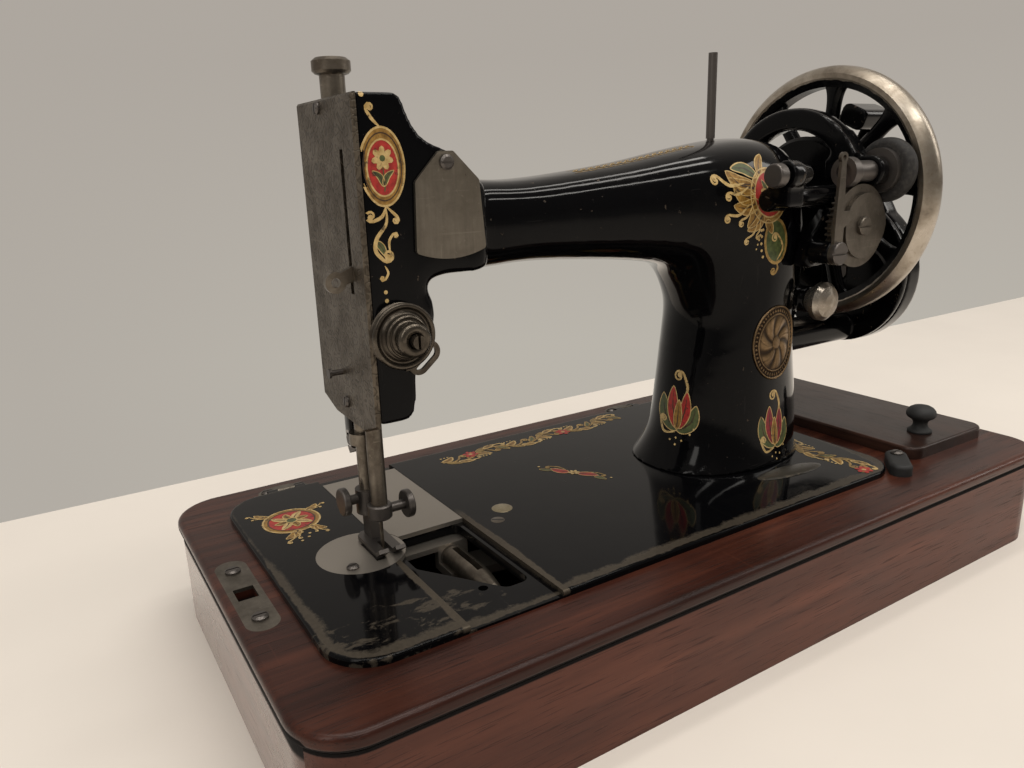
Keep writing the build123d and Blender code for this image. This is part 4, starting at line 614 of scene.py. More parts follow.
@dataclass(frozen=True)
class Varnished(Finish):
    """Varnished wood with its grain along one axis."""

    grain: Axis = Axis.X
    light: Colour = (0.15, 0.052, 0.028)
    middle: Colour = (0.075, 0.022, 0.012)
    dark: Colour = (0.022, 0.0075, 0.005)
    gloss: float = 0.3
    haze: float = 0.15
    # Painted shadow in the joint under the top board: its height, half width, soft fade and extra width at
    # the board ends.
    shadow_at: float = 0.0
    shadow_half: float = 0.001
    shadow_fade: float = 0.0003
    shadow_ends: float = 0.0
    ends: tuple[float, float] = (0.2100, 0.2112)
    sheen: float = 0.22
    coat: float = 0.3
    stretch: float = 0.055

    def painted_shadow(self, wiring: Wiring, coords: Feed) -> bpy.types.NodeSocket:
        """Returns the mask of the painted shadow in the joint under the top board, wider at the board's ends.

        Args:
            wiring: The material's tree.
            coords: The piece's coordinates.

        Returns:
            The mask.
        """
        x, _, z = wiring.parts(coords)
        end = wiring.span(wiring.calc("ABSOLUTE", x), *self.ends, 0.0, self.shadow_ends)
        reach = wiring.minus(wiring.plus(end, self.shadow_half), wiring.apart(z, self.shadow_at))
        return wiring.span(reach, -self.shadow_fade, self.shadow_fade)

    def along(self, wiring: Wiring, coords: Feed, share: float) -> bpy.types.NodeSocket:
        """Returns coordinates drawn out along the grain."""
        return wiring.mapped(coords, tuple(share if part else 1.0 for part in self.grain.value))

    def wire(self, wiring: Wiring, shader: bpy.types.Node) -> None:
        """Wires figure, pores, ribbon stripe, hazed varnish and, where set, a painted shadow in the joint
        under the top board.

        Args:
            wiring: The material\'s tree.
            shader: Its shader.
        """
        coords = wiring.coords()
        figure = wiring.noise(self.along(wiring, coords, self.stretch), 62.0, 6.0, 0.6, 0.5)
        stripe = wiring.noise(self.along(wiring, coords, 0.35 * self.stretch), 170.0, 4.0, 0.6)
        pores = wiring.noise(self.along(wiring, coords, 0.6 * self.stretch), 1500.0, 2.0, 0.5)
        pore = wiring.span(pores, 0.58, 0.66)
        mottle = wiring.noise(coords, 14.0, 4.0, 0.6)
        shade = wiring.plus(wiring.times(figure, 0.6), wiring.times(stripe, 0.4))
        wood = wiring.ramp(wiring.span(shade, 0.3, 0.7),
                           [(0.0, self.dark), (0.45, self.middle), (1.0, self.light)])
        wood = wiring.blend(wiring.times(pore, 0.55), wood, shaded(self.dark, 0.4))
        stained = wiring.blend(wiring.span(mottle, 0.33, 0.66, 0.5, 0.0), wood, self.dark)
        scuffs = SharedEffects.scratches(wiring, coords, 520.0, 0.42)
        marked = wiring.blend(wiring.times(scuffs, 0.10), stained, shaded(self.light, 1.4))
        # Painted shadow: a near-black, dull band with no coat in the joint under the top board, fading down
        # the end boards.
        painted_shadow = self.painted_shadow(wiring, coords) if self.shadow_at else 0.0
        wiring.feed(shader.inputs["Base Color"], wiring.blend(painted_shadow, marked, (0.004, 0.003, 0.003)))
        shader.inputs["Specular IOR Level"].default_value = self.sheen
        coat = wiring.times(wiring.glance(0.35, 0.85, self.coat), wiring.minus(1.0, painted_shadow))
        wiring.feed(shader.inputs["Coat Weight"], coat)
        shader.inputs["Coat Roughness"].default_value = 0.6 * self.gloss
        rough = wiring.span(mottle, 0.3, 0.7, self.gloss, self.gloss + self.haze)
        rough = wiring.plus(rough, wiring.times(pore, 0.12))
        wiring.feed(shader.inputs["Roughness"], wiring.most(rough, painted_shadow))
        relief = wiring.minus(wiring.times(stripe, 0.35), wiring.times(pore, 0.5))
        wiring.feed(shader.inputs["Normal"], wiring.bump(relief, 0.00022, 0.3))


@dataclass(frozen=True)
class SoftBlack(Finish):
    """Rubber or ebonised wood: near-black with fine rubbed variation."""

    colour: Colour = (0.012, 0.0115, 0.011)
    rubbed: Colour = (0.04, 0.037, 0.034)
    rough: float = 0.5
    scale: float = 240.0
    sheen: float = 0.28

    def wire(self, wiring: Wiring, shader: bpy.types.Node) -> None:
        """Wires rubbed patches and a fine grain.

        Args:
            wiring: The material\'s tree.
            shader: Its shader.
        """
        coords = wiring.coords()
        cloud = wiring.noise(coords, self.scale, 6.0, 0.6)
        patchy = wiring.blend(wiring.span(cloud, 0.45, 0.75), self.colour, self.rubbed)
        wiring.feed(shader.inputs["Base Color"], patchy)
        shader.inputs["Specular IOR Level"].default_value = self.sheen
        rough = wiring.span(cloud, 0.3, 0.7, self.rough - 0.08, self.rough + 0.1)
        wiring.feed(shader.inputs["Roughness"], rough)
        wiring.feed(shader.inputs["Normal"], wiring.bump(cloud, 0.0002, 0.3))


@dataclass(frozen=True)
class Transfer(Finish):
    """Printed transfer paint, rubbed thin in places."""

    colour: Colour = (0.4, 0.25, 0.06)
    deep: Colour = (0.2, 0.1, 0.02)
    shine: float = 0.3
    metal: float = 0.35

    def wire(self, wiring: Wiring, shader: bpy.types.Node) -> None:
        """Wires shading in the paint and places where it has rubbed away.

        Args:
            wiring: The material\'s tree.
            shader: Its shader.
        """
        coords = wiring.coords()
        shading = wiring.noise(coords, 420.0, 4.0, 0.6)
        rubbed = SharedEffects.blotches(wiring, coords, 330.0, 0.60, 0.68)
        paint = wiring.blend(wiring.span(shading, 0.35, 0.65), self.deep, self.colour)
        thinned = wiring.blend(wiring.times(rubbed, 0.85), paint, (0.012, 0.010, 0.008))
        wiring.feed(shader.inputs["Base Color"], thinned)
        shader.inputs["Metallic"].default_value = self.metal
        wiring.feed(shader.inputs["Roughness"], wiring.span(shading, 0.3, 0.7, self.shine, self.shine + 0.15))
        wiring.feed(shader.inputs["Normal"], wiring.bump(shading, 0.00006, 0.3))


@dataclass(frozen=True)
class TableCloth(Finish):
    """Plain pale cloth of the table."""

    colour: Colour = (0.76, 0.70, 0.632)

    def wire(self, wiring: Wiring, shader: bpy.types.Node) -> None:
        """Wires faint creases and shade.

        Args:
            wiring: The material\'s tree.
            shader: Its shader.
        """
        coords = wiring.coords()
        cloud = wiring.noise(coords, 5.0, 5.0, 0.55)
        cloth = wiring.blend(wiring.span(cloud, 0.3, 0.7), self.colour, shaded(self.colour, 0.94))
        wiring.feed(shader.inputs["Base Color"], cloth)
        shader.inputs["Roughness"].default_value = 0.9
        creases = wiring.noise(wiring.mapped(coords, (0.4, 1, 1), (0, 0, 20)), 22.0, 3.0, 0.5)
        wiring.feed(shader.inputs["Normal"], wiring.bump(creases, 0.002, 0.25))


JAPAN = Japan("black_japan")
BED_JAPAN = BedJapan("bed_japan")
WHEEL_JAPAN = WheelJapan("wheel_japan")
CAST_JAPAN = Japan("cast_japan", chips=0.66, gloss=0.12)
PLATE_STEEL = Metal("plate_steel", (0.212, 0.174, 0.124), (0.12, 0.096, 0.066), 0.34, 0.5, (0.05, 1.0, 1.0))
COVER_STEEL = Metal("cover_steel", (0.205, 0.182, 0.15), (0.145, 0.127, 0.102), 0.36, 0.48, (1.0, 1.0, 0.05))
FACE_STEEL = EngravedMetal("face_steel", (0.165, 0.139, 0.109), (0.086, 0.07, 0.053), 0.34, 0.5,
                           (1.0, 1.0, 0.06))
GEAR_STEEL = Metal("gear_steel", (0.165, 0.145, 0.122), (0.095, 0.082, 0.067), 0.34, 0.5, (1.0, 1.0, 0.3))
NICKEL = Metal("worn_nickel", (0.50, 0.455, 0.395), (0.26, 0.22, 0.175), 0.2, 0.42)
OLD_NICKEL = Metal("old_nickel", (0.24, 0.21, 0.172), (0.10, 0.082, 0.064), 0.26, 0.46)
DARK_STEEL = Metal("dark_steel", (0.13, 0.113, 0.094), (0.045, 0.038, 0.031), 0.3, 0.5)
TENSION_STEEL = Metal("tension_steel", (0.125, 0.107, 0.085), (0.042, 0.035, 0.028), 0.2, 0.4)
PALE_BRASS = Metal("pale_brass", (0.46, 0.40, 0.27), (0.24, 0.19, 0.11), 0.26, 0.44)
BADGE_BRASS = ReliefMetal("badge_brass", (0.30, 0.20, 0.105), (0.12, 0.078, 0.042), 0.28, 0.46)
WORN_PAD = Japan("worn_pad", (0.030, 0.026, 0.020), (0.10, 0.084, 0.064), 0.60, 0.30)
# The wood finishes of the case paint a shadow line in the joint under the top board, widest down the end
# boards.
TOP_WOOD = Varnished("top_mahogany", Axis.X, (0.105, 0.031, 0.016), (0.040, 0.0115, 0.0070),
                     (0.010, 0.0036, 0.0026), 0.24, shadow_at=0.0464, shadow_half=0.0017, shadow_ends=0.0015)
SIDE_WOOD = Varnished("side_mahogany", Axis.X, (0.160, 0.054, 0.032), (0.094, 0.030, 0.0185),
                      (0.042, 0.014, 0.0095), 0.34, shadow_at=0.0455)
END_WOOD = Varnished("end_mahogany", Axis.Y, (0.19, 0.066, 0.041), (0.118, 0.039, 0.025),
                     (0.058, 0.019, 0.013), 0.24, 0.08, shadow_at=0.0438, shadow_half=0.0030,
                     shadow_fade=0.0012, sheen=0.42, coat=0.9)
LID_WOOD = Varnished("lid_wood", Axis.Y, (0.052, 0.024, 0.016), (0.026, 0.0118, 0.0082),
                     (0.010, 0.005, 0.0038), 0.24)
FLOOR_WOOD = Varnished("floor_wood", Axis.X, (0.20, 0.105, 0.06), (0.13, 0.065, 0.036),
                       (0.06, 0.03, 0.018), 0.55)
EBONY = SoftBlack("ebonised", (0.004, 0.0036, 0.0033), (0.010, 0.009, 0.008), 0.16)
LOCK_STEEL = Metal("lock_steel", (0.20, 0.178, 0.148), (0.10, 0.087, 0.071), 0.32, 0.48, (1.0, 0.3, 1.0))
GRIP_WOOD = Varnished("grip_wood", Axis.X, (0.05, 0.02, 0.012), (0.02, 0.009, 0.006),
                      (0.008, 0.004, 0.003), 0.26)
RUBBER = SoftBlack("tyre_rubber", (0.018, 0.017, 0.0165), (0.05, 0.046, 0.042), 0.62, 500.0)
CLOTH = TableCloth("table_cloth")
TRANSFERS = [Transfer("gold_transfer", (0.42, 0.27, 0.085), (0.20, 0.115, 0.03)),
             Transfer("red_transfer", (0.40, 0.022, 0.014), (0.22, 0.012, 0.01), 0.3, 0.0),
             Transfer("green_transfer", (0.085, 0.105, 0.03), (0.035, 0.048, 0.016), 0.3, 0.0),
             Transfer("straw_transfer", (0.56, 0.40, 0.17), (0.36, 0.235, 0.08), 0.3, 0.1),
             Transfer("umber_transfer", (0.06, 0.028, 0.010), (0.028, 0.013, 0.006), 0.32, 0.0),
             Transfer("amber_transfer", (0.34, 0.185, 0.035), (0.15, 0.075, 0.014), 0.3, 0.15),
             Transfer("crimson_transfer", (0.27, 0.012, 0.022), (0.13, 0.008, 0.012), 0.3, 0.0)]


def piece(name: str, shape: bmesh.types.BMesh, body: str, finishes: Sequence[Finish], smooth: bool = True,
          sharp: float = 35.0) -> bpy.types.Object:
    """Makes an object of a bmesh, in its place, riding on a body.

    Args:
        name: Piece name.
        shape: Mesh in the row frame, in metres; freed here.
        body: CAD body that carries the piece.
        finishes: Finishes in the order of the mesh's material places.
        smooth: Whether faces are shaded smooth.
        sharp: Angle past which an edge stays sharp, in degrees.

    Returns:
        The new object.
    """
    bmesh.ops.recalc_face_normals(shape, faces=shape.faces)
    for face in shape.faces:
        face.smooth = smooth
    for edge in shape.edges:
        if len(edge.link_faces) == 2 and edge.calc_face_angle(0.0) > math.radians(sharp):
            edge.smooth = False
    mesh = bpy.data.meshes.new(name)
    shape.to_mesh(mesh)
    shape.free()
    for finish in finishes:
        mesh.materials.append(finish.material())
    made = bpy.data.objects.new(name, mesh)
    bpy.context.scene.collection.objects.link(made)
    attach(made, body)
    log.info("piece %s on %s, %d faces", name, body, len(mesh.polygons))
    return made


def node_copy(*nodes: str) -> bmesh.types.BMesh:
    """Returns a merged bmesh copy of CAD nodes.

    Args:
        nodes: CAD node names.

    Returns:
        The joined copy.
    """
    shape = bmesh.new()
    for node in nodes:
        shape.from_mesh(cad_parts[node].data)
    bmesh.ops.remove_doubles(shape, verts=shape.verts, dist=1e-6)
    return shape


def dress(finish: Finish, *nodes: str) -> None:
    """Gives CAD nodes a finish.

    Args:
        finish: The finish.
        nodes: CAD node names.
    """
    for node in nodes:
        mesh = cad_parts[node].data
        mesh.materials.clear()
        mesh.materials.append(finish.material())


def softened(name: str, shape: bmesh.types.BMesh, grain: float, rounds: int) -> bmesh.types.BMesh:
    """Remeshes a shape evenly and softens its inner corners as a casting's are.

    Args:
        name: Name of the scratch mesh.
        shape: Closed shape; freed here.
        grain: Size of the new faces, in metres.
        rounds: Rounds of smoothing.

    Returns:
        The softened shape.
    """
    mesh = bpy.data.meshes.new(name)
    shape.to_mesh(mesh)
    shape.free()
    holder = bpy.data.objects.new(name, mesh)
    bpy.context.scene.collection.objects.link(holder)
    remesh = holder.modifiers.new("even", "REMESH")
    remesh.mode = "VOXEL"
    remesh.voxel_size = grain
    relax = holder.modifiers.new("soft", "SMOOTH")
    relax.factor = SMOOTHING
    relax.iterations = rounds
    result = bmesh.new()
    result.from_object(holder, bpy.context.evaluated_depsgraph_get())
    bpy.data.objects.remove(holder)
    bpy.data.meshes.remove(mesh)
    return result


def rounded(shape: bmesh.types.BMesh, inside: Callable[[Vector], bool], rounds: int) -> None:
    """Rounds one region of an even mesh further.

    Args:
        shape: The mesh.
        inside: Whether a place belongs to the region.
        rounds: Rounds of smoothing.
    """
    zone = [vert for vert in shape.verts if inside(vert.co)]
    for _ in range(rounds):
        bmesh.ops.smooth_vert(shape, verts=zone, factor=SMOOTHING, use_axis_x=True, use_axis_y=True,
                              use_axis_z=True)


def lathe(profile: Profile, place: Vector, axis: Vector,
          steps: int = 48) -> bmesh.types.BMesh:
    """Turns a profile of radius and height about an axis.

    Args:
        profile: Radius and height pairs, in millimetres.
        place: Where height 0 lies, in metres.
        axis: Direction of growing height.
        steps: Steps round the axis.

    Returns:
        The turned shape.
    """
    shape = bmesh.new()
    verts = [shape.verts.new((radius * MM, 0.0, height * MM)) for radius, height in profile]
    edges = [shape.edges.new(pair) for pair in zip(verts, verts[1:])]
    bmesh.ops.spin(shape, geom=verts + edges, cent=(0, 0, 0), axis=(0, 0, 1), angle=2 * math.pi, steps=steps,
                   use_merge=True)
    bmesh.ops.remove_doubles(shape, verts=shape.verts, dist=1e-6)
    turn = Vector((0, 0, 1)).rotation_difference(axis).to_matrix().to_4x4()
    bmesh.ops.transform(shape, matrix=Matrix.Translation(place) @ turn, verts=shape.verts)
    return shape


@dataclass(frozen=True)
class Stroke:
    """One painted stroke: a line of points with a width at each, in millimetres."""

    points: tuple[Vector, ...]
    widths: tuple[float, ...]
    paint: Paint
    layer: int

    def at(self, share: float) -> tuple[Vector, Vector, float]:
        """Returns the place, the direction across and the width at a share of the stroke.

        Args:
            share: 0 at the start, 1 at the end.

        Returns:
            Place, unit vector across, and full width.
        """
        spot = min(share, 0.9999) * (len(self.points) - 1)
        index = int(spot)
        rest = spot - index
        first, second = self.points[index], self.points[index + 1]
        before = self.points[max(index - 1, 0)]
        after = self.points[min(index + 2, len(self.points) - 1)]
        along = (second - before).lerp(after - first, rest)
        if along.length < 1e-9:
            along = second - first
        across = Vector((-along.y, along.x)).normalized()
        width = self.widths[index] + rest * (self.widths[index + 1] - self.widths[index])
        return first.lerp(second, rest), across, width


class Motif:
    """Flat ornament of painted strokes, drawn and lifted off its surface in millimetres."""

    lift = 0.05
    layer_step = 0.035
    order_step = 0.0006

    def __init__(self) -> None:
        """Starts with no strokes."""
        self.strokes: list[Stroke] = []

    @staticmethod
    def smooth(points: Sequence[Sequence[float]], steps: int = 6) -> list[Vector]:
        """Returns a smooth line through points.

        Args:
            points: Points to pass through.
            steps: Steps in each span.

        Returns:
            The line's points.
        """
        knots = [Vector((*point, 0.0)) for point in points]
        line: list[Vector] = []
        for index in range(len(knots) - 1):
            start, end = knots[index], knots[index + 1]
            before = knots[index - 1] if index else start
            after = knots[index + 2] if index + 2 < len(knots) else end
            leaving, coming = start + (end - before) / 6, end - (after - start) / 6
            line.extend(interpolate_bezier(start, leaving, coming, end, steps + 1)[:-1])
        line.append(knots[-1])
        return [point.to_2d() for point in line]

    def stroke(self, points: Sequence[Sequence[float]], start: float, middle: float, end: float,
               paint: Paint = Paint.GOLD, layer: int = 2) -> Vector:
        """Adds a smooth stroke that swells in its middle.

        Args:
            points: Points to pass through.
            start: Width at the start.
            middle: Width half way.
            end: Width at the end.
            paint: Paint.
            layer: Layer, higher lies over lower.

        Returns:
            The stroke's last direction.
        """
        line = self.smooth(points)
        last = len(line) - 1
        swell = middle - (start + end) / 2
        widths = []
        for index in range(len(line)):
            share = index / last
            widths.append((1 - share) * start + share * end + math.sin(math.pi * share) * swell)
        self.strokes.append(Stroke(tuple(line), tuple(widths), paint, layer))
        return (line[-1] - line[-2]).normalized()

    def dot(self, place: Sequence[float], radius: float, paint: Paint = Paint.STRAW, layer: int = 3,
            tall: float = 1.0, turn: float = 0.0) -> None:
        """Adds a round or oval dot.

        Args:
            place: Centre.
            radius: Half its width.
            paint: Paint.
            layer: Layer.
            tall: Height over width.
            turn: Turn, in degrees.
        """
        way = Vector((-math.sin(math.radians(turn)), math.cos(math.radians(turn)))) * radius * tall
        steps = 12
        shares = [-math.cos(math.pi * step / steps) for step in range(steps + 1)]
        line = [Vector(place) + way * share for share in shares]
        widths = [2 * radius * math.sqrt(max(0.0, 1 - share * share)) for share in shares]
        self.strokes.append(Stroke(tuple(line), tuple(widths), paint, layer))

    def ring(self, place: Sequence[float], radius: float, width: float, paint: Paint = Paint.GOLD,
             layer: int = 3, tall: float = 1.0) -> None:
        """Adds a round or oval ring.

        Args:
            place: Centre.
            radius: Half its width.
            width: Width of the line.
            paint: Paint.
            layer: Layer.
            tall: Height over width.
        """
        line = []
        steps = 40
        for step in range(steps + 1):
            angle = 2 * math.pi * step / steps
            spot = Vector((radius * math.cos(angle), radius * tall * math.sin(angle)))
            line.append(Vector(place) + spot)
        self.strokes.append(Stroke(tuple(line), tuple(width for _ in line), paint, layer))

    def curl(self, points: Sequence[Sequence[float]], width: float, radius: float, side: int = 1,
             paint: Paint = Paint.GOLD, layer: int = 2) -> None:
        """Adds a stem that ends in a shrinking curl with a round bud.

        Args:
            points: Points of the stem.
            width: Width of the stem.
            radius: First radius of the curl.
            side: 1 curls left, -1 curls right.
            paint: Paint.
            layer: Layer.
        """
        heading = self.stroke(points, 0.3 * width, width, 0.85 * width, paint, layer)
        end = Vector(points[-1])
        out = Vector((-heading.y, heading.x)) * side
        line, widths = [], []
        steps, turns = 22, 1.15
        for step in range(steps + 1):
            share = step / steps
            reach = radius * (1 - 0.78 * share)
            middle = end + out * radius * (1 - 0.12 * share)
            spot = -out * reach
            spot.rotate(Matrix.Rotation(side * 2 * math.pi * turns * share, 2))
            line.append(middle + spot)
            widths.append(width * (0.85 - 0.35 * share))
        self.strokes.append(Stroke(tuple(line), tuple(widths), paint, layer))
        self.dot(line[-1], 0.34 * radius + 0.25 * width, paint, layer)

    def leaf(self, base: Sequence[float], tip: Sequence[float], half: float, bend: float, fill: Paint,
             rim: Paint, layer: int = 1, rim_width: float = 0.45) -> None:
        """Adds a pointed leaf with a painted rim and a vein.

        Args:
            base: Where it starts.
            tip: Where it ends.
            half: Half its greatest width.
            bend: How far its middle bows to the left.
            fill: Paint of its body.
            rim: Paint of its rim.
            layer: Layer of its body.
            rim_width: Width of the rim.
        """
        start, end = Vector(base), Vector(tip)
        way = end - start
        across = Vector((-way.y, way.x)).normalized()
        line = self.smooth([start, start.lerp(end, 0.5) + across * bend, end], 9)
        last = len(line) - 1
        widths = [2 * half * math.sin(math.pi * (index / last) ** 0.8) ** 0.85 for index in range(last + 1)]
        body = Stroke(tuple(line), tuple(widths), fill, layer)
        self.strokes.append(body)
        for side in (-0.5, 0.5):
            edge = []
            for index in range(last + 1):
                place, out, width = body.at(index / last)
                edge.append(place + out * side * width)
            self.strokes.append(Stroke(tuple(edge), tuple(rim_width for _ in edge), rim, layer + 1))
        vein = line[2:-3]
        thin = tuple(0.3 * half * (1 - index / len(vein)) + 0.1 for index in range(len(vein)))
        self.strokes.append(Stroke(tuple(vein), thin, Paint.UMBER, layer + 1))

    def daisy(self, place: Sequence[float], radius: float, petals: int, paint: Paint, heart: Paint,
              layer: int = 3) -> None:
        """Adds an open flower of round petals.

        Args:
            place: Centre.
            radius: Reach of the petals.
            petals: Number of petals.
            paint: Petal paint.
            heart: Paint of the middle.
            layer: Layer.
        """
        for index in range(petals):
            angle = 360 * index / petals
            out = Vector((-math.sin(math.radians(angle)), math.cos(math.radians(angle))))
            self.dot(Vector(place) + out * 0.58 * radius, 0.27 * radius, paint, layer, 1.5, angle)
        self.dot(place, 0.26 * radius, heart, layer + 1)

    def placed(self, other: "Motif", shift: Sequence[float], turn: float = 0.0,
               mirror: bool = False) -> None:
        """Adds another motif's strokes, moved, turned and perhaps mirrored.

        Args:
            other: Motif to add.
            shift: Shift.
            turn: Turn, in degrees.
            mirror: Whether left and right are swapped first.
        """
        spin = Matrix.Rotation(math.radians(turn), 2)
        for stroke in other.strokes:
            line = []
            for point in stroke.points:
                spot = Vector((-point.x if mirror else point.x, point.y))
                spot.rotate(spin)
                line.append(spot + Vector(shift))
            self.strokes.append(Stroke(tuple(line), stroke.widths, stroke.paint, stroke.layer))

    def lay(self, tree: BVHTree, ground: "Ground") -> bmesh.types.BMesh:
        """Lays the strokes on a surface.

        Args:
            tree: The surface.
            ground: Where the motif lies and how it faces.

        Returns:
            The laid strokes.
        """
        shape = bmesh.new()
        for order, stroke in enumerate(self.strokes):
            length = sum((b - a).length for a, b in zip(stroke.points, stroke.points[1:]))
            columns = max(4, min(60, int(length / 0.8)))
            rows = max(1, math.ceil(max(stroke.widths) / 1.6))
            made = bmesh.ops.create_grid(shape, x_segments=columns, y_segments=rows, size=1.0)["verts"]
            height = self.lift + self.layer_step * stroke.layer + self.order_step * (order % 20)
            lost = []
            for vert in made:
                place, across, width = stroke.at((vert.co.x + 1) / 2)
                hit = ground.drop(tree, place + across * (vert.co.y * width / 2))
                if hit is None:
                    lost.append(vert)
                else:
                    vert.co = hit[0] + hit[1] * height * MM
            for face in {face for vert in made for face in vert.link_faces}:
                face.material_index = stroke.paint.value
            if lost:
                bmesh.ops.delete(shape, geom=lost, context="VERTS")
        return shape


@dataclass(frozen=True)
class Ground:
    """A place on a surface: a middle, a facing direction and an upright, in the row frame."""

    middle: tuple[float, float, float]
    facing: tuple[float, float, float]
    upright: tuple[float, float, float] = (0.0, 0.0, 1.0)
    reach: float = 40.0

    def drop(self, tree: BVHTree, spot: Vector) -> Optional[tuple[Vector, Vector]]:
        """Returns the surface point and normal under a flat spot.

        Args:
            tree: The surface.
            spot: Flat place, in millimetres.

        Returns:
            Point in metres and unit normal, or None past the surface.
        """
        out = Vector(self.facing).normalized()
        side = Vector(self.upright).cross(out).normalized()
        up = out.cross(side)
        start = (Vector(self.middle) + side * spot.x + up * spot.y + out * self.reach) * MM
        place, normal, _, _ = tree.ray_cast(start, -out, 2 * self.reach * MM)
        if place is None or normal.dot(out) < 0.12:
            return None
        return place, normal


@dataclass
class Studio:
    """Camera, soft light, pale table and a backdrop with painted light low on the right."""

    place: Vector = field(default_factory=lambda: Vector((-0.2594, -0.2987, 0.2147)))
    yaw: float = 31.844
    pitch: float = -15.687
    roll: float = -1.848
    lens: float = 27.746
    table_back: float = 0.278
    table_half: tuple[float, float] = (3.0, 1.5)
    wall: Colour = (0.42, 0.385, 0.345)
    # Painted light: the backdrop's lighter colour low on the right.
    lit_wall: Colour = (0.53, 0.505, 0.445)
    dim: float = 0.42
    room: Colour = (0.49, 0.47, 0.445)
    light: Colour = (1.0, 0.96, 0.9)
    sensor: float = 36.0
    nearest: float = 0.01
    lamps: tuple[tuple, ...] = (
        ("row_over_bed", (0.05, -0.28, 1.6), (0.05, 0.0, 0.1), (1.9, 0.12), 8.0),
        ("row_over_arm", (0.05, 0.1, 1.6), (0.05, 0.0, 0.1), (1.9, 0.12), 4.6),
        ("row_in_front", (0.1, -1.0, 1.6), (0.0, 0.0, 0.1), (1.9, 0.08), 9.5),
        ("window", (-1.3, -0.6, 1.1), (0.0, 0.0, 0.1), (0.3, 0.9), 4.0),
        ("side", (1.5, -0.7, 1.0), (0.1, 0.0, 0.1), (0.3, 0.9), 4.0))

    def camera(self) -> None:
        """Sets the camera at the photograph's view."""
        yaw, pitch, roll = (math.radians(angle) for angle in (self.yaw, self.pitch, self.roll))
        ahead = Vector((math.cos(pitch) * math.sin(yaw), math.cos(pitch) * math.cos(yaw), math.sin(pitch)))
        level = ahead.cross(Axis.Z.value).normalized()
        upright = level.cross(ahead)
        right = math.cos(roll) * level + math.sin(roll) * upright
        up = math.cos(roll) * upright - math.sin(roll) * level
        data = bpy.data.cameras.new("view")
        data.lens = self.lens
        data.sensor_fit = "HORIZONTAL"
        data.sensor_width = self.sensor
        data.clip_start = self.nearest
        camera = bpy.data.objects.new("view", data)
        turn = Matrix((right, up, -ahead)).transposed().to_4x4()
        camera.matrix_world = Matrix.Translation(self.place) @ turn
        bpy.context.scene.collection.objects.link(camera)
        bpy.context.scene.camera = camera

    def lamp(self, name: str, place: Sequence[float], target: Sequence[float], size: Sequence[float],
             watts: float) -> None:
        """Adds a soft rectangular lamp.

        Args:
            name: Lamp name.
            place: Where it hangs, in metres.
            target: What it points at.
            size: Width and height, in metres.
            watts: Power.
        """
        data = bpy.data.lights.new(name, "AREA")
        data.shape = "RECTANGLE"
        data.size, data.size_y = size
        data.energy = watts
        data.color = self.light
        lamp = bpy.data.objects.new(name, data)
        aim = Vector(target) - Vector(place)
        lamp.matrix_world = Matrix.Translation(place) @ aim.to_track_quat("-Z", "Y").to_matrix().to_4x4()
        bpy.context.scene.collection.objects.link(lamp)

    def world(self) -> None:
        """Sets the backdrop, with painted light low on the right, and the room's soft light."""
        world = bpy.data.worlds.new("room")
        bpy.context.scene.world = world
        world.use_nodes = True
        wiring = Wiring(world.node_tree)
        back = next(n for n in world.node_tree.nodes if n.type == "BACKGROUND")
        ray = wiring.add("ShaderNodeLightPath").outputs
        mirrored = wiring.most(ray["Is Glossy Ray"], ray["Is Transmission Ray"])
        seen = wiring.most(ray["Is Camera Ray"], mirrored)
        x, y, z = wiring.parts(wiring.coords())
        # Backdrop as seen and reflected: darker towards the front, and lighter low on the right as a painted
        # pool of light.
        wall = wiring.blend(wiring.span(y, -0.45, 0.2), shaded(self.wall, self.dim), self.wall)
        low = wiring.times(wiring.span(z, 0.12, -0.22, 0.0, 0.58), wiring.span(x, 0.0, 0.4, 0.4, 1.0))
        wall = wiring.blend(low, wall, self.lit_wall)
        wiring.feed(back.inputs["Color"], wiring.blend(seen, self.room, wall))
        back.inputs["Strength"].default_value = 1.0

    def build(self) -> None:
        """Builds the stage."""
        self.camera()
        self.world()
        for lamp in self.lamps:
            self.lamp(*lamp)
        table = bmesh.new()
        bmesh.ops.create_grid(table, x_segments=1, y_segments=1, size=1.0)
        bmesh.ops.scale(table, vec=(*self.table_half, 1.0), verts=table.verts)
        bmesh.ops.translate(table, vec=(0.0, self.table_back - self.table_half[1], 0.0), verts=table.verts)
        mesh = bpy.data.meshes.new("table")
        table.to_mesh(mesh)
        table.free()
        mesh.materials.append(CLOTH.material())
        floor = bpy.data.objects.new("table", mesh)
        bpy.context.scene.collection.objects.link(floor)
        bpy.context.scene.view_settings.view_transform = "Standard"


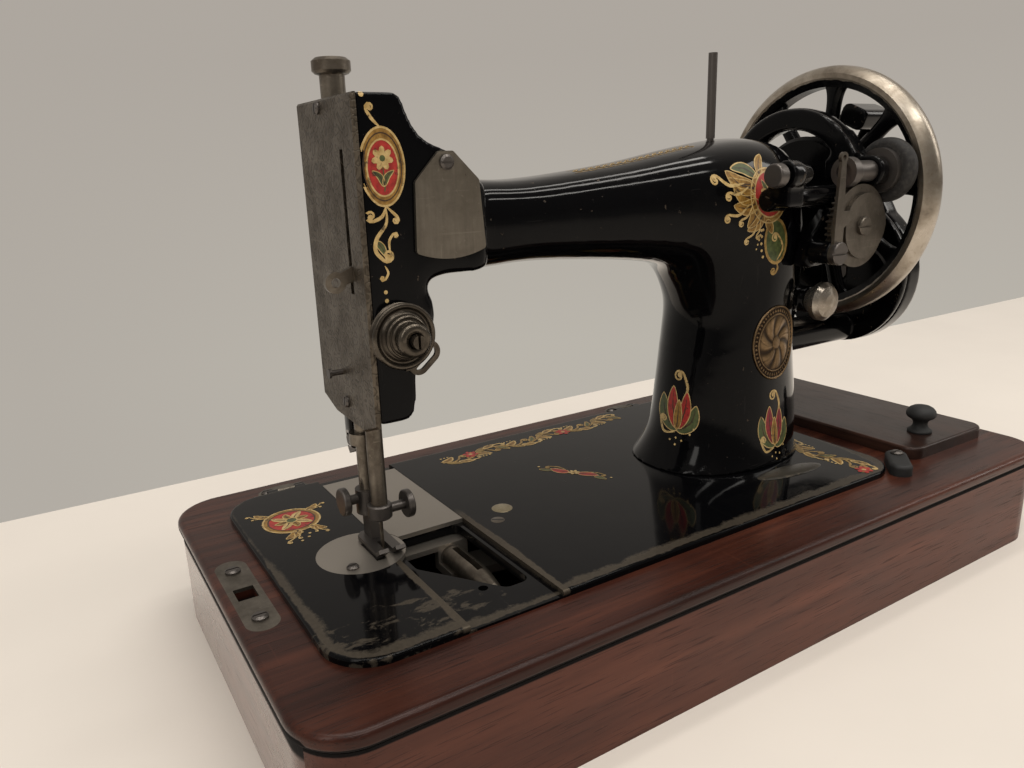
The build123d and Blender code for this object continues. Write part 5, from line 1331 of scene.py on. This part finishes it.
@dataclass
class CaseBase:
    """Wooden base with its lid, lock plate, hinges and turn-button."""

    knob_profile: Profile = (
        (0.0, 15.8), (2.4, 15.6), (4.6, 15.0), (6.3, 14.0), (7.4, 12.7), (7.9, 11.3), (7.8, 10.0), (7.1, 8.9),
        (5.8, 8.1), (4.7, 7.3), (4.0, 6.2), (3.8, 5.0), (4.0, 3.8), (4.7, 2.6), (5.7, 1.8), (6.4, 1.3),
        (6.5, 0.6), (6.3, 0.0))
    knob_height: float = 0.016

    def knob(self) -> None:
        """Replaces the lid knob by a smoothly turned one on the same place."""
        cloud = [vert.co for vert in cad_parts["lid_knob"].data.vertices]
        low, high = (Vector(pick(co[axis] for co in cloud) for axis in range(3)) for pick in (min, max))
        place = Vector(((low.x + high.x) / 2, (low.y + high.y) / 2, high.z - self.knob_height))
        knob = lathe(self.knob_profile, place, Axis.Z.value)
        turned = piece("turned_lid_knob", knob, "lid", [EBONY], True, 60.0)
        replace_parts(turned, "lid_knob")

    def build(self) -> None:
        """Dresses the boards and their metal."""
        dress(TOP_WOOD, "base_top")
        dress(SIDE_WOOD, "base_front", "base_back")
        dress(END_WOOD, "base_left_end", "base_right_end")
        dress(FLOOR_WOOD, "base_floor", "compartment_divider")
        dress(LID_WOOD, "compartment_lid", "lid_rear_strip")
        dress(EBONY, "lid_knob", "turn_button")
        self.knob()
        dress(LOCK_STEEL, "lock_plate", "bed_hinge_leaves", "lid_hinge_leaves", "lid_hinge_straps")
        dress(DARK_STEEL, "base_screws", "hinge_pins")


@dataclass
class Head:
    """Bed, arm and pillar castings with their plates."""

    grain: float = 0.00115
    rounds: int = 7
    neck_at: float = -0.0965
    neck_from: float = 0.145
    neck_rounds: tuple[tuple[float, int], ...] = ((0.008, 18), (0.012, 12), (0.017, 8))
    boss_at: tuple[float, float] = (-0.1215, 0.1665)
    boss_rounds: tuple[tuple[float, int], ...] = ((0.007, 30), (0.011, 24), (0.015, 14))
    elbow_at: tuple[float, float] = (0.026, 0.149)
    elbow_rounds: tuple[tuple[float, int], ...] = ((0.018, 60), (0.025, 60), (0.033, 30))

    def casting(self) -> BVHTree:
        """Replaces the arm by a copy with soft cast blends.

        Returns:
            The new skin, for the ornaments.
        """
        shape = softened("arm_skin", node_copy("arm_casting"), self.grain, self.rounds)
        for spread, rounds in self.neck_rounds:
            rounded(shape, lambda co: abs(co.x - self.neck_at) < spread and co.z > self.neck_from, rounds)
        for (x, z), blends in ((self.boss_at, self.boss_rounds), (self.elbow_at, self.elbow_rounds)):
            for spread, rounds in blends:
                rounded(shape, lambda co: math.hypot(co.x - x, co.z - z) < spread, rounds)
        skin = BVHTree.FromBMesh(shape)
        arm = piece("arm_skin", shape, "head", [JAPAN], True, 60.0)
        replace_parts(arm, "arm_casting")
        return skin

    def build(self) -> None:
        """Dresses the castings and plates."""
        skin = self.casting()
        bed = node_copy("bed")
        plate = BVHTree.FromBMesh(bed)
        bed.free()
        Transfers(skin, plate).build()
        Badge(skin).build()
        BedFittings().build()
        ThreadTension().build()
        dress(JAPAN, "arm_casting")
        dress(BED_JAPAN, "bed")
        dress(PLATE_STEEL, "needle_plate", "slide_plate", "shuttle_carrier")
        dress(COVER_STEEL, "arm_cover")
        dress(TENSION_STEEL, "tension_discs", "tension_nut", "tension_stud", "check_spring")
        dress(FACE_STEEL, "face_plate")
        dress(DARK_STEEL, "head_screws", "spool_pin", "needle_clamp", "clamp_screw", "presser_foot",
              "presser_spring", "foot_screw", "presser_lifter", "feed_dog", "arm_shaft")
        dress(OLD_NICKEL, "needle_bar", "presser_bar", "needle", "pressure_screw", "take_up_lever", "shuttle")
        dress(NICKEL, "stitch_knob")


@dataclass
class Badge:
    """Struck oval badge on the pillar, with a beaded border and a rosette."""

    skin: BVHTree
    ground: Ground = Ground((65.6, -33.0, 121.0), (0.07, -1.0, 0.0))
    half: tuple[float, float] = (15.6, 19.6)
    base: float = 0.15
    raised: float = 0.9
    steps: tuple[int, int] = (288, 56)
    beads: int = 48
    petals: int = 7

    def relief(self, share: float, angle: float) -> float:
        """Returns the relief at a place of the badge.

        Args:
            share: 0 in the middle, 1 at the rim.
            angle: Angle round the middle, in radians.

        Returns:
            Relief from 0 to 1.
        """
        if share > 0.93:
            return 1.0 - ((share - 0.965) / 0.035) ** 2
        if share > 0.79:
            across = 1 - ((share - 0.86) / 0.055) ** 2
            return 0.08 + 0.75 * max(0.0, across) * max(0.0, math.cos(self.beads * angle))
        if share > 0.73:
            return 0.75 * (1 - ((share - 0.76) / 0.03) ** 2)
        if share < 0.17:
            return 0.45 + 0.5 * math.sqrt(max(0.0, 1 - (share / 0.17) ** 2))
        swirl = angle + 0.9 * share
        petal = abs(math.cos(self.petals * swirl / 2)) ** 0.7
        reach = math.sin(math.pi * (share - 0.17) / 0.56) ** 0.6
        vein = 0.25 * max(0.0, 1 - abs(math.sin(self.petals * swirl / 2)) * 9)
        return 0.15 + 0.7 * reach * max(0.0, petal - 0.35) / 0.65 - vein

    def build(self) -> None:
        """Lays the badge on the pillar's skin."""
        shape = bmesh.new()
        layer = shape.verts.layers.float.new("relief")
        around, outward = self.steps
        made = bmesh.ops.create_grid(shape, x_segments=around, y_segments=outward, size=1.0)["verts"]
        for vert in made:
            angle, share = math.pi * vert.co.x, (vert.co.y + 1) / 2
            flat = Vector((self.half[0] * share * math.cos(angle), self.half[1] * share * math.sin(angle)))
            place, normal = self.ground.drop(self.skin, flat) or (Vector(), Vector())
            height = self.relief(share, angle)
            vert[layer] = height
            vert.co = place + normal * (self.base + self.raised * max(0.0, height)) * MM
        bmesh.ops.remove_doubles(shape, verts=shape.verts, dist=1e-6)
        piece("pillar_badge", shape, "head", [BADGE_BRASS], True, 180.0)


@dataclass
class BedFittings:
    """Small things let into the bed: a brass plug, a slotted screw and a bare boss."""

    bed_top: float = 0.056
    plug: tuple[float, float] = (-0.0821, -0.0006)
    screw: tuple[float, float] = (-0.0905, -0.0105)
    screw_turn: float = -38.0
    # Size of the painted shadow strip of the screw's slot, and how far its middle sits above the bed.
    slot_shadow: tuple[float, float, float] = (0.0056, 0.0008, 0.0004)
    slot_proud: float = 0.00006
    boss: tuple[float, float] = (0.0625, -0.0505)
    plug_profile: Profile = (
        (0, 0.45), (3.6, 0.4), (4.6, 0.25), (5.0, 0.0), (5.0, -0.4))
    screw_profile: Profile = ((0, 0.2), (2.6, 0.2), (3.2, 0.05), (3.2, -0.4))
    boss_profile: Profile = (
        (0, 0.9), (4.6, 0.85), (5.4, 0.6), (5.9, 0.0), (5.9, -0.4))

    def disc(self, name: str, place: tuple[float, float], profile: Profile,
             finish: Finish, stretch: float = 1.0, turn: float = 0.0) -> None:
        """Adds a low turned disc, perhaps drawn out to an oval.

        Args:
            name: Piece name.
            place: Centre on the bed, in metres.
            profile: Radius and height pairs, in millimetres.
            finish: Its finish.
            stretch: Length over width.
            turn: Turn, in degrees.
        """
        shape = lathe(profile, Vector((0, 0, 0)), Axis.Z.value)
        bmesh.ops.scale(shape, vec=(stretch, 1.0, 1.0), verts=shape.verts)
        move = Matrix.Translation((*place, self.bed_top)) @ Matrix.Rotation(math.radians(turn), 4, "Z")
        bmesh.ops.transform(shape, matrix=move, verts=shape.verts)
        piece(name, shape, "head", [finish], True, 40.0)

    def build(self) -> None:
        """Adds the fittings."""
        self.disc("bed_plug", self.plug, self.plug_profile, PALE_BRASS)
        self.disc("bed_screw", self.screw, self.screw_profile, OLD_NICKEL)
        # Painted shadow: a thin near-black strip laid on the screw head stands in for the shade in its slot.
        slot_shadow = bmesh.new()
        bmesh.ops.create_cube(slot_shadow, size=1.0)
        bmesh.ops.scale(slot_shadow, vec=self.slot_shadow, verts=slot_shadow.verts)
        turn = Matrix.Rotation(math.radians(self.screw_turn), 4, "Z")
        move = Matrix.Translation((*self.screw, self.bed_top + self.slot_proud)) @ turn
        bmesh.ops.transform(slot_shadow, matrix=move, verts=slot_shadow.verts)
        piece("bed_screw_slot_shadow", slot_shadow, "head", [EBONY], False)
        self.disc("bed_boss", self.boss, self.boss_profile, WORN_PAD, 3.6, -6.0)


@dataclass
class ThreadTension:
    """Tension discs and nut with rounded rims and stepped faces."""

    centre: tuple[float, float] = (-142.0, 154.0)
    front: float = -31.5
    discs: Profile = (
        (2.6, 0.0), (11.4, 0.0), (12.1, 0.3), (12.4, 0.8), (12.1, 1.4), (9.2, 2.2), (9.2, 2.6), (11.9, 3.3),
        (12.5, 3.8), (12.6, 4.4), (12.2, 4.9), (11.5, 5.1), (10.8, 4.9), (10.4, 4.3), (9.9, 4.1), (9.4, 4.3),
        (9.1, 5.1), (8.6, 5.5), (2.6, 5.8))
    nut: Profile = (
        (2.6, 6.0), (8.0, 6.0), (8.4, 6.4), (8.5, 7.0), (8.2, 7.6), (7.6, 7.8), (7.2, 7.5), (6.9, 7.6),
        (6.6, 8.4), (6.3, 8.7), (5.7, 8.8), (5.6, 9.4), (6.2, 9.9), (6.4, 10.4), (6.4, 12.9), (6.2, 13.6),
        (5.6, 14.2), (4.6, 14.5), (3.3, 14.5), (2.9, 14.1), (2.6, 13.6))

    def build(self) -> None:
        """Replaces the plain discs and nut."""
        place = Vector((self.centre[0], self.front, self.centre[1])) * MM
        for name, node, body, profile in (("tension_disc_pair", "tension_discs", "head", self.discs),
                                          ("tension_thumb_nut", "tension_nut", "nut", self.nut)):
            turned = piece(name, lathe(profile, place, -Axis.Y.value, 64), body, [TENSION_STEEL], True, 50.0)
            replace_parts(turned, node)


@dataclass
class Transfers:
    """Painted ornaments of the head, arm, pillar and bed."""

    skin: BVHTree
    plate: BVHTree
    head: Ground = Ground((-144.6, -31.5, 213.0), (0.0, -1.0, 0.0))
    elbow: Ground = Ground((55.0, -33.0, 196.0), (-0.06, -0.98, 0.12))
    left_foot: Ground = Ground((22.0, -9.0, 91.0), (-0.86, -0.51, 0.06))
    right_foot: Ground = Ground((66.0, -35.0, 80.0), (0.06, -0.99, 0.09))
    crest: Ground = Ground((-8.0, -6.5, 213.0), (-0.1, -0.12, 0.99), (0.0, 1.0, 0.0))
    bed_left: Ground = Ground((-169.5, 46.0, 56.0), (0.0, 0.0, 1.0), (0.12, 1.0, 0.0))
    bed_rear: Ground = Ground((-14.0, 71.5, 56.0), (0.0, 0.0, 1.0), (-0.04, 1.0, 0.0))
    bed_middle: Ground = Ground((-28.5, 14.5, 56.0), (0.0, 0.0, 1.0), (0.85, 0.53, 0.0))
    bed_right: Ground = Ground((95.5, -28.0, 56.0), (0.0, 0.0, 1.0), (1.0, 0.0, 0.0))

    @staticmethod
    def medallion(radius: float, tall: float) -> Motif:
        """Returns an oval flower medallion.

        Args:
            radius: Half its width, in millimetres.
            tall: Height over width.

        Returns:
            The motif.
        """
        motif = Motif()
        motif.dot((0, 0), radius, Paint.AMBER, 0, tall)
        motif.ring((0, 0), radius, 0.09 * radius, Paint.STRAW, 2, tall)
        motif.ring((0, 0), 0.86 * radius, 0.05 * radius, Paint.UMBER, 2, tall)
        motif.dot((0, -0.04 * radius), 0.72 * radius, Paint.RED, 1, tall)
        motif.ring((0, -0.04 * radius), 0.72 * radius, 0.075 * radius, Paint.STRAW, 3, tall)
        low = -0.5 * radius * tall
        for side in (-1, 1):
            motif.leaf((0, low), (side * 0.5 * radius, 0.18 * low), 0.13 * radius, side * 0.12 * radius,
                       Paint.GREEN, Paint.STRAW, 3, 0.3)
        motif.stroke([(0, 1.25 * low), (0.04 * radius, low), (0, 0.1 * radius)], 0.3, 0.5, 0.4,
                     Paint.GREEN, 3)
        motif.daisy((0, 0.22 * radius * tall), 0.52 * radius, 7, Paint.STRAW, Paint.GREEN, 4)
        return motif

    @staticmethod
    def rosette(radius: float) -> Motif:
        """Returns a round rosette of pointed petals on a red ground.

        Args:
            radius: Half its width, in millimetres.

        Returns:
            The motif.
        """
        motif = Motif()
        motif.dot((0, 0), radius, Paint.AMBER, 0)
        motif.ring((0, 0), radius, 0.07 * radius, Paint.STRAW, 2)
        motif.dot((0, 0), 0.82 * radius, Paint.RED, 1)
        motif.ring((0, 0), 0.82 * radius, 0.05 * radius, Paint.UMBER, 2)
        for index in range(8):
            way = Vector((math.cos(math.pi * index / 4 + 0.2), math.sin(math.pi * index / 4 + 0.2))) * radius
            paint = Paint.STRAW if index % 2 else Paint.AMBER
            motif.leaf(0.18 * way, (0.78 if index % 2 else 0.62) * way, 0.13 * radius, 0.04 * radius, paint,
                       Paint.STRAW, 3, 0.04 * radius)
        motif.dot((0, 0), 0.2 * radius, Paint.GREEN, 6)
        motif.ring((0, 0), 0.2 * radius, 0.05 * radius, Paint.STRAW, 7)
        return motif

    @staticmethod
    def spray(length: float) -> Motif:
        """Returns a side spray of one long curl, a short curl and a leaf, growing to the left.

        Args:
            length: Reach, in millimetres.

        Returns:
            The motif.
        """
        motif = Motif()
        motif.leaf((0, 0), (-0.72 * length, 0.14 * length), 0.16 * length, 0.1 * length, Paint.AMBER,
                   Paint.STRAW, 1, 0.4)
        motif.curl([(-0.3 * length, 0.02 * length), (-0.62 * length, -0.1 * length), (-0.9 * length, 0.0)],
                   0.06 * length, 0.1 * length, 1, Paint.STRAW)
        motif.curl([(-0.2 * length, -0.02 * length), (-0.4 * length, -0.2 * length),
                    (-0.6 * length, -0.22 * length)], 0.05 * length, 0.085 * length, 1, Paint.STRAW)
        return motif

    @staticmethod
    def drop(radius: float) -> Motif:
        """Returns a hanging drop with a curl inside and beads beside it.

        Args:
            radius: Half its width, in millimetres.

        Returns:
            The motif.
        """
        motif = Motif()
        motif.dot((0, -1.2 * radius), radius, Paint.GREEN, 0, 1.45)
        motif.ring((0, -1.2 * radius), radius, 0.2 * radius, Paint.GOLD, 2, 1.45)
        motif.curl([(0, -2.5 * radius), (0.62 * radius, -1.7 * radius), (0.2 * radius, -0.8 * radius)],
                   0.16 * radius, 0.36 * radius, 1, Paint.STRAW, 3)
        motif.curl([(0, -2.65 * radius), (0.1 * radius, -3.0 * radius), (-0.1 * radius, -3.3 * radius)],
                   0.16 * radius, 0.28 * radius, -1, Paint.GOLD, 2)
        for index in range(5):
            angle = math.radians(150 + 14 * index)
            spot = (1.35 * radius * math.cos(angle), -1.2 * radius + 1.9 * radius * math.sin(angle))
            motif.dot(spot, 0.1 * radius)
        return motif

    @staticmethod
    def tulip(height: float, petal: Paint) -> Motif:
        """Returns a tulip on a curled stem with leaves and beads.

        Args:
            height: Height over all, in millimetres.
            petal: Paint of the flower.

        Returns:
            The motif.
        """
        motif = Motif()
        h = height
        motif.curl([(0.02 * h, -0.08 * h), (0.1 * h, 0.14 * h), (0.05 * h, 0.3 * h)], 0.03 * h, 0.07 * h, 1,
                   Paint.STRAW)
        motif.leaf((0.0, -0.32 * h), (-0.2 * h, 0.06 * h), 0.085 * h, 0.07 * h, Paint.GREEN, Paint.STRAW, 1,
                   0.5)
        motif.leaf((0.0, -0.32 * h), (0.21 * h, -0.02 * h), 0.08 * h, -0.07 * h, Paint.GREEN, Paint.STRAW, 1,
                   0.5)
        motif.leaf((0.0, -0.3 * h), (-0.07 * h, 0.16 * h), 0.075 * h, 0.03 * h, petal, Paint.STRAW, 3, 0.5)
        motif.leaf((0.01 * h, -0.3 * h), (0.1 * h, 0.12 * h), 0.07 * h, -0.03 * h, petal, Paint.STRAW, 3, 0.5)
        motif.leaf((0.0, -0.31 * h), (0.01 * h, 0.02 * h), 0.05 * h, 0.0, Paint.AMBER, Paint.STRAW, 5, 0.4)
        motif.curl([(-0.02 * h, -0.34 * h), (-0.16 * h, -0.36 * h), (-0.22 * h, -0.24 * h)], 0.028 * h,
                   0.05 * h, -1, Paint.STRAW)
        for x, y in ((0.0, -0.4), (-0.07, -0.43), (0.07, -0.42), (0.0, -0.47), (0.16, -0.34), (0.2, -0.28)):
            motif.dot((x * h, y * h), 0.012 * h, Paint.STRAW)
        return motif

    @staticmethod
    def vine(length: float, height: float) -> Motif:
        """Returns a running vine with buds and leaves along a line.

        Args:
            length: Length, in millimetres.
            height: Height of its waves, in millimetres.

        Returns:
            The motif.
        """
        motif = Motif()
        waves = max(2, round(length / (1.7 * height)))
        pitch = length / waves
        h = height
        for index in range(waves):
            x = -length / 2 + index * pitch
            side = 1 if index % 2 else -1
            motif.stroke([(x, -0.1 * h * side), (x + 0.3 * pitch, 0.34 * h * side),
                          (x + 0.7 * pitch, 0.3 * h * side), (x + pitch, 0.1 * h * side)], 0.09 * h, 0.13 * h,
                         0.09 * h, Paint.GOLD, 2)
            motif.curl([(x + 0.2 * pitch, 0.25 * h * side), (x + 0.45 * pitch, 0.1 * h * side),
                        (x + 0.58 * pitch, -0.2 * h * side)], 0.1 * h, 0.17 * h, side, Paint.GOLD)
            motif.leaf((x + 0.4 * pitch, 0.3 * h * side), (x + 0.8 * pitch, 0.52 * h * side), 0.13 * h,
                       0.05 * h * side, Paint.AMBER, Paint.STRAW, 1, 0.06 * h)
            motif.leaf((x + 0.02 * pitch, 0.0), (x + 0.4 * pitch, -0.34 * h * side), 0.15 * h,
                       0.08 * h * side, Paint.AMBER, Paint.STRAW, 0, 0.06 * h)
            motif.leaf((x + 0.1 * pitch, 0.12 * h * side), (x + 0.42 * pitch, 0.5 * h * side), 0.12 * h, 0.0,
                       Paint.GREEN, Paint.GOLD, 0, 0.06 * h)
            motif.curl([(x + 0.6 * pitch, 0.34 * h * side), (x + 0.85 * pitch, 0.5 * h * side),
                        (x + 1.02 * pitch, 0.42 * h * side)], 0.09 * h, 0.12 * h, -side, Paint.STRAW)
            if index % 3 == 0:
                motif.daisy((x + 0.9 * pitch, -0.12 * h * side), 0.36 * h, 6, Paint.RED, Paint.STRAW, 4)
            motif.leaf((x + 0.72 * pitch, 0.22 * h * side), (x + 0.98 * pitch, -0.36 * h * side), 0.12 * h,
                       0.06 * h * side, Paint.GREEN if index % 3 else Paint.RED, Paint.GOLD, 1, 0.07 * h)
            for bead in range(3):
                motif.dot((x + (0.1 + 0.1 * bead) * pitch, -0.42 * h * side), 0.05 * h, Paint.STRAW)
        return motif

    def head_panel(self) -> Motif:
        """Returns the panel beside the face plate: beads, medallion and a falling scroll."""
        motif = Motif()
        motif.placed(self.medallion(8.3, 1.62), (0.6, 1.5))
        motif.curl([(0.4, 15.0), (-2.2, 17.5), (-4.2, 20.5)], 1.2, 1.7, -1, Paint.STRAW)
        for index in range(3):
            motif.dot((-5.4 - 0.35 * index, 25.6 + 3.5 * index), 0.95 - 0.1 * index, Paint.STRAW)
        motif.curl([(0.8, -12.0), (-1.0, -15.5), (-4.5, -17.0)], 1.3, 2.2, -1, Paint.STRAW)
        motif.curl([(0.8, -12.0), (3.4, -14.5), (5.0, -16.0)], 1.1, 1.5, -1, Paint.STRAW)
        motif.curl([(0.6, -12.5), (0.4, -18.0), (-3.6, -23.0), (-4.4, -27.5), (-1.6, -31.0)], 1.5, 2.5, 1,
                   Paint.STRAW)
        motif.leaf((-4.0, -24.0), (-0.6, -29.8), 1.3, 0.5, Paint.GREEN, Paint.STRAW, 1, 0.35)
        motif.curl([(1.2, -29.5), (1.0, -24.5), (2.8, -21.8)], 1.0, 1.2, -1, Paint.STRAW)
        motif.curl([(-1.4, -33.0), (-0.2, -35.6), (-1.6, -38.0)], 0.9, 1.2, -1, Paint.STRAW)
        for index in range(2):
            motif.dot((-1.8 + 0.2 * index, -42.5 - 3.2 * index), 0.8, Paint.STRAW)
        return motif

    def elbow_spray(self) -> Motif:
        """Returns the large spray of the pillar's top: rosette, wings and a hanging drop."""
        motif = Motif()
        motif.placed(self.spray(27.0), (-7.0, 3.0), -16.0)
        motif.placed(self.spray(22.0), (-6.0, -3.0), 16.0)
        motif.placed(self.spray(17.0), (-3.0, -9.0), 48.0)
        motif.placed(self.spray(15.0), (3.0, 9.5), -78.0, mirror=True)
        motif.leaf((-6.0, 8.5), (-21.0, 13.0), 2.9, -2.2, Paint.GREEN, Paint.STRAW, 1, 0.6)
        motif.leaf((-4.0, 9.0), (2.0, 19.5), 2.3, 1.4, Paint.AMBER, Paint.STRAW, 1, 0.5)
        motif.dot((1.0, -0.5), 12.2, Paint.AMBER, 1, 1.08)
        motif.ring((1.0, -0.5), 12.2, 0.7, Paint.STRAW, 3, 1.08)
        motif.dot((1.6, 0.0), 10.2, Paint.RED, 2, 1.08)
        motif.ring((1.6, 0.0), 10.2, 0.8, Paint.STRAW, 4, 1.08)
        for index in range(5):
            angle = math.radians(90 + 72 * index + 36)
            base = (1.6 + 1.6 * math.cos(angle), 1.6 * math.sin(angle))
            tip = (1.6 + 8.2 * math.cos(angle), 8.6 * math.sin(angle))
            motif.leaf(base, tip, 1.25, 0.3, Paint.GREEN, Paint.STRAW, 4, 0.3)
        motif.daisy((1.6, 0.0), 6.4, 5, Paint.STRAW, Paint.AMBER, 6)
        motif.placed(self.drop(7.4), (5.5, -14.0), 6.0)
        motif.leaf((-9.0, -2.0), (-21.5, 5.5), 4.2, 1.5, Paint.AMBER, Paint.STRAW, 0, 0.5)
        motif.leaf((-7.0, -7.0), (-13.0, -15.0), 3.2, 1.0, Paint.AMBER, Paint.STRAW, 0, 0.5)
        motif.leaf((-9.5, 5.0), (-24.0, 8.5), 2.2, 1.2, Paint.CRIMSON, Paint.STRAW, 0, 0.4)
        motif.leaf((-1.0, -12.5), (3.5, -19.0), 2.2, 0.6, Paint.AMBER, Paint.STRAW, 1, 0.4)
        for index in range(5):
            motif.dot((-4.0 - 0.6 * index, -17.0 - 2.2 * index), 0.75 - 0.07 * index)
        return motif

    def corner_flower(self) -> Motif:
        """Returns the flower of the bed's left corner."""
        motif = Motif()
        motif.placed(self.rosette(13.0), (0.0, 0.0))
        motif.placed(self.spray(11.0), (-9.0, 8.5), -30.0)
        motif.placed(self.spray(11.0), (8.0, 8.5), 30.0, mirror=True)
        motif.placed(self.spray(14.0), (1.0, -11.0), 60.0)
        motif.placed(self.spray(12.0), (7.0, -9.0), -55.0, mirror=True)
        for x, y in ((2.0, -15.0), (5.0, -17.5), (-1.5, -18.5), (4.0, -21.0), (0.5, -23.5)):
            motif.dot((x, y), 0.7)
        return motif

    def sprig(self) -> Motif:
        """Returns the small half-worn sprig of the bed's middle."""
        motif = Motif()
        for side in (-1, 1):
            motif.leaf((2.5 * side, 0.0), (13.5 * side, 1.2), 2.6, 0.8, Paint.RED, Paint.STRAW, 1, 0.5)
            motif.curl([(4.0 * side, 1.5), (10.0 * side, 4.6), (16.0 * side, 3.6)], 0.9, 1.5, -side,
                       Paint.GOLD)
            motif.leaf((12.0 * side, -0.5), (19.0 * side, -2.0), 1.5, 0.3, Paint.GREEN, Paint.GOLD, 1, 0.4)
            motif.dot((20.5 * side, 1.0), 0.7)
        motif.daisy((0.0, 0.6), 3.2, 6, Paint.STRAW, Paint.AMBER, 4)
        return motif

    def crest_band(self) -> Motif:
        """Returns the beaded band along the arm's crest."""
        motif = Motif()
        for index in range(17):
            x = -34.0 + 4.25 * index
            for side in (-1, 1):
                motif.leaf((x, 0.0), (x + 3.4, 2.0 * side), 0.62, 0.2 * side, Paint.GOLD, Paint.STRAW, 1,
                           0.25)
            motif.dot((x - 0.4, 0.0), 0.55)
        for y in (3.2, -3.2):
            motif.stroke([(-36.0, y), (0.0, y), (36.0, y)], 0.35, 0.35, 0.35, Paint.GOLD)
        return motif

    def build(self) -> None:
        """Lays every ornament on its surface."""
        on_arm = [("transfer_head", self.head_panel(), self.head),
                  ("transfer_elbow", self.elbow_spray(), self.elbow),
                  ("transfer_left_foot", self.tulip(48.0, Paint.RED), self.left_foot),
                  ("transfer_right_foot", self.tulip(46.0, Paint.CRIMSON), self.right_foot),
                  ("transfer_crest", self.crest_band(), self.crest)]
        on_bed = [("transfer_bed_left", self.corner_flower(), self.bed_left),
                  ("transfer_bed_rear", self.vine(128.0, 13.0), self.bed_rear),
                  ("transfer_bed_middle", self.sprig(), self.bed_middle),
                  ("transfer_bed_right", self.vine(92.0, 13.0), self.bed_right)]
        for tree, group in ((self.skin, on_arm), (self.plate, on_bed)):
            for name, motif, ground in group:
                piece(name, motif.lay(tree, ground), "head", TRANSFERS, True, 180.0)


@dataclass
class Drive:
    """Handwheel, hand crank and bobbin winder."""

    castings: tuple[tuple[str, str, float, int], ...] = (
        ("winder_frame", "winder", 0.0007, 6), ("crank_bracket", "head", 0.0009, 6),
        ("gear_cover", "head", 0.0009, 6), ("driver_arm", "driver", 0.0008, 6))
    arch_from: float = 0.211
    arch_front: float = -0.034
    arch_rounds: int = 45

    def build(self) -> None:
        """Dresses the drive."""
        dress(WHEEL_JAPAN, "handwheel")
        dress(CAST_JAPAN, "crank_bracket", "gear_cover", "driver_arm", "crank_arm", "winder_frame")
        for node, body, grain, rounds in self.castings:
            shape = softened(f"{node}_cast", node_copy(node), grain, rounds)
            if node == "winder_frame":
                rounded(shape, lambda co: co.z > self.arch_from and co.y > self.arch_front, self.arch_rounds)
            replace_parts(piece(f"{node}_cast", shape, body, [CAST_JAPAN], True, 60.0), node)
        dress(DARK_STEEL, "pinion", "crank_gear", "guide_screw", "winder_spindle", "bobbin_pin")
        dress(GRIP_WOOD, "handle_grip")
        dress(RUBBER, "winder_tyre")
        dress(GEAR_STEEL, "worm_wheel", "guide_lever")


def main() -> None:
    """Builds the stage and each sub-assembly in order."""
    logging.basicConfig(level=logging.INFO)
    Studio().build()
    CaseBase().build()
    Head().build()
    Drive().build()


if __name__ == "__main__":
    main()
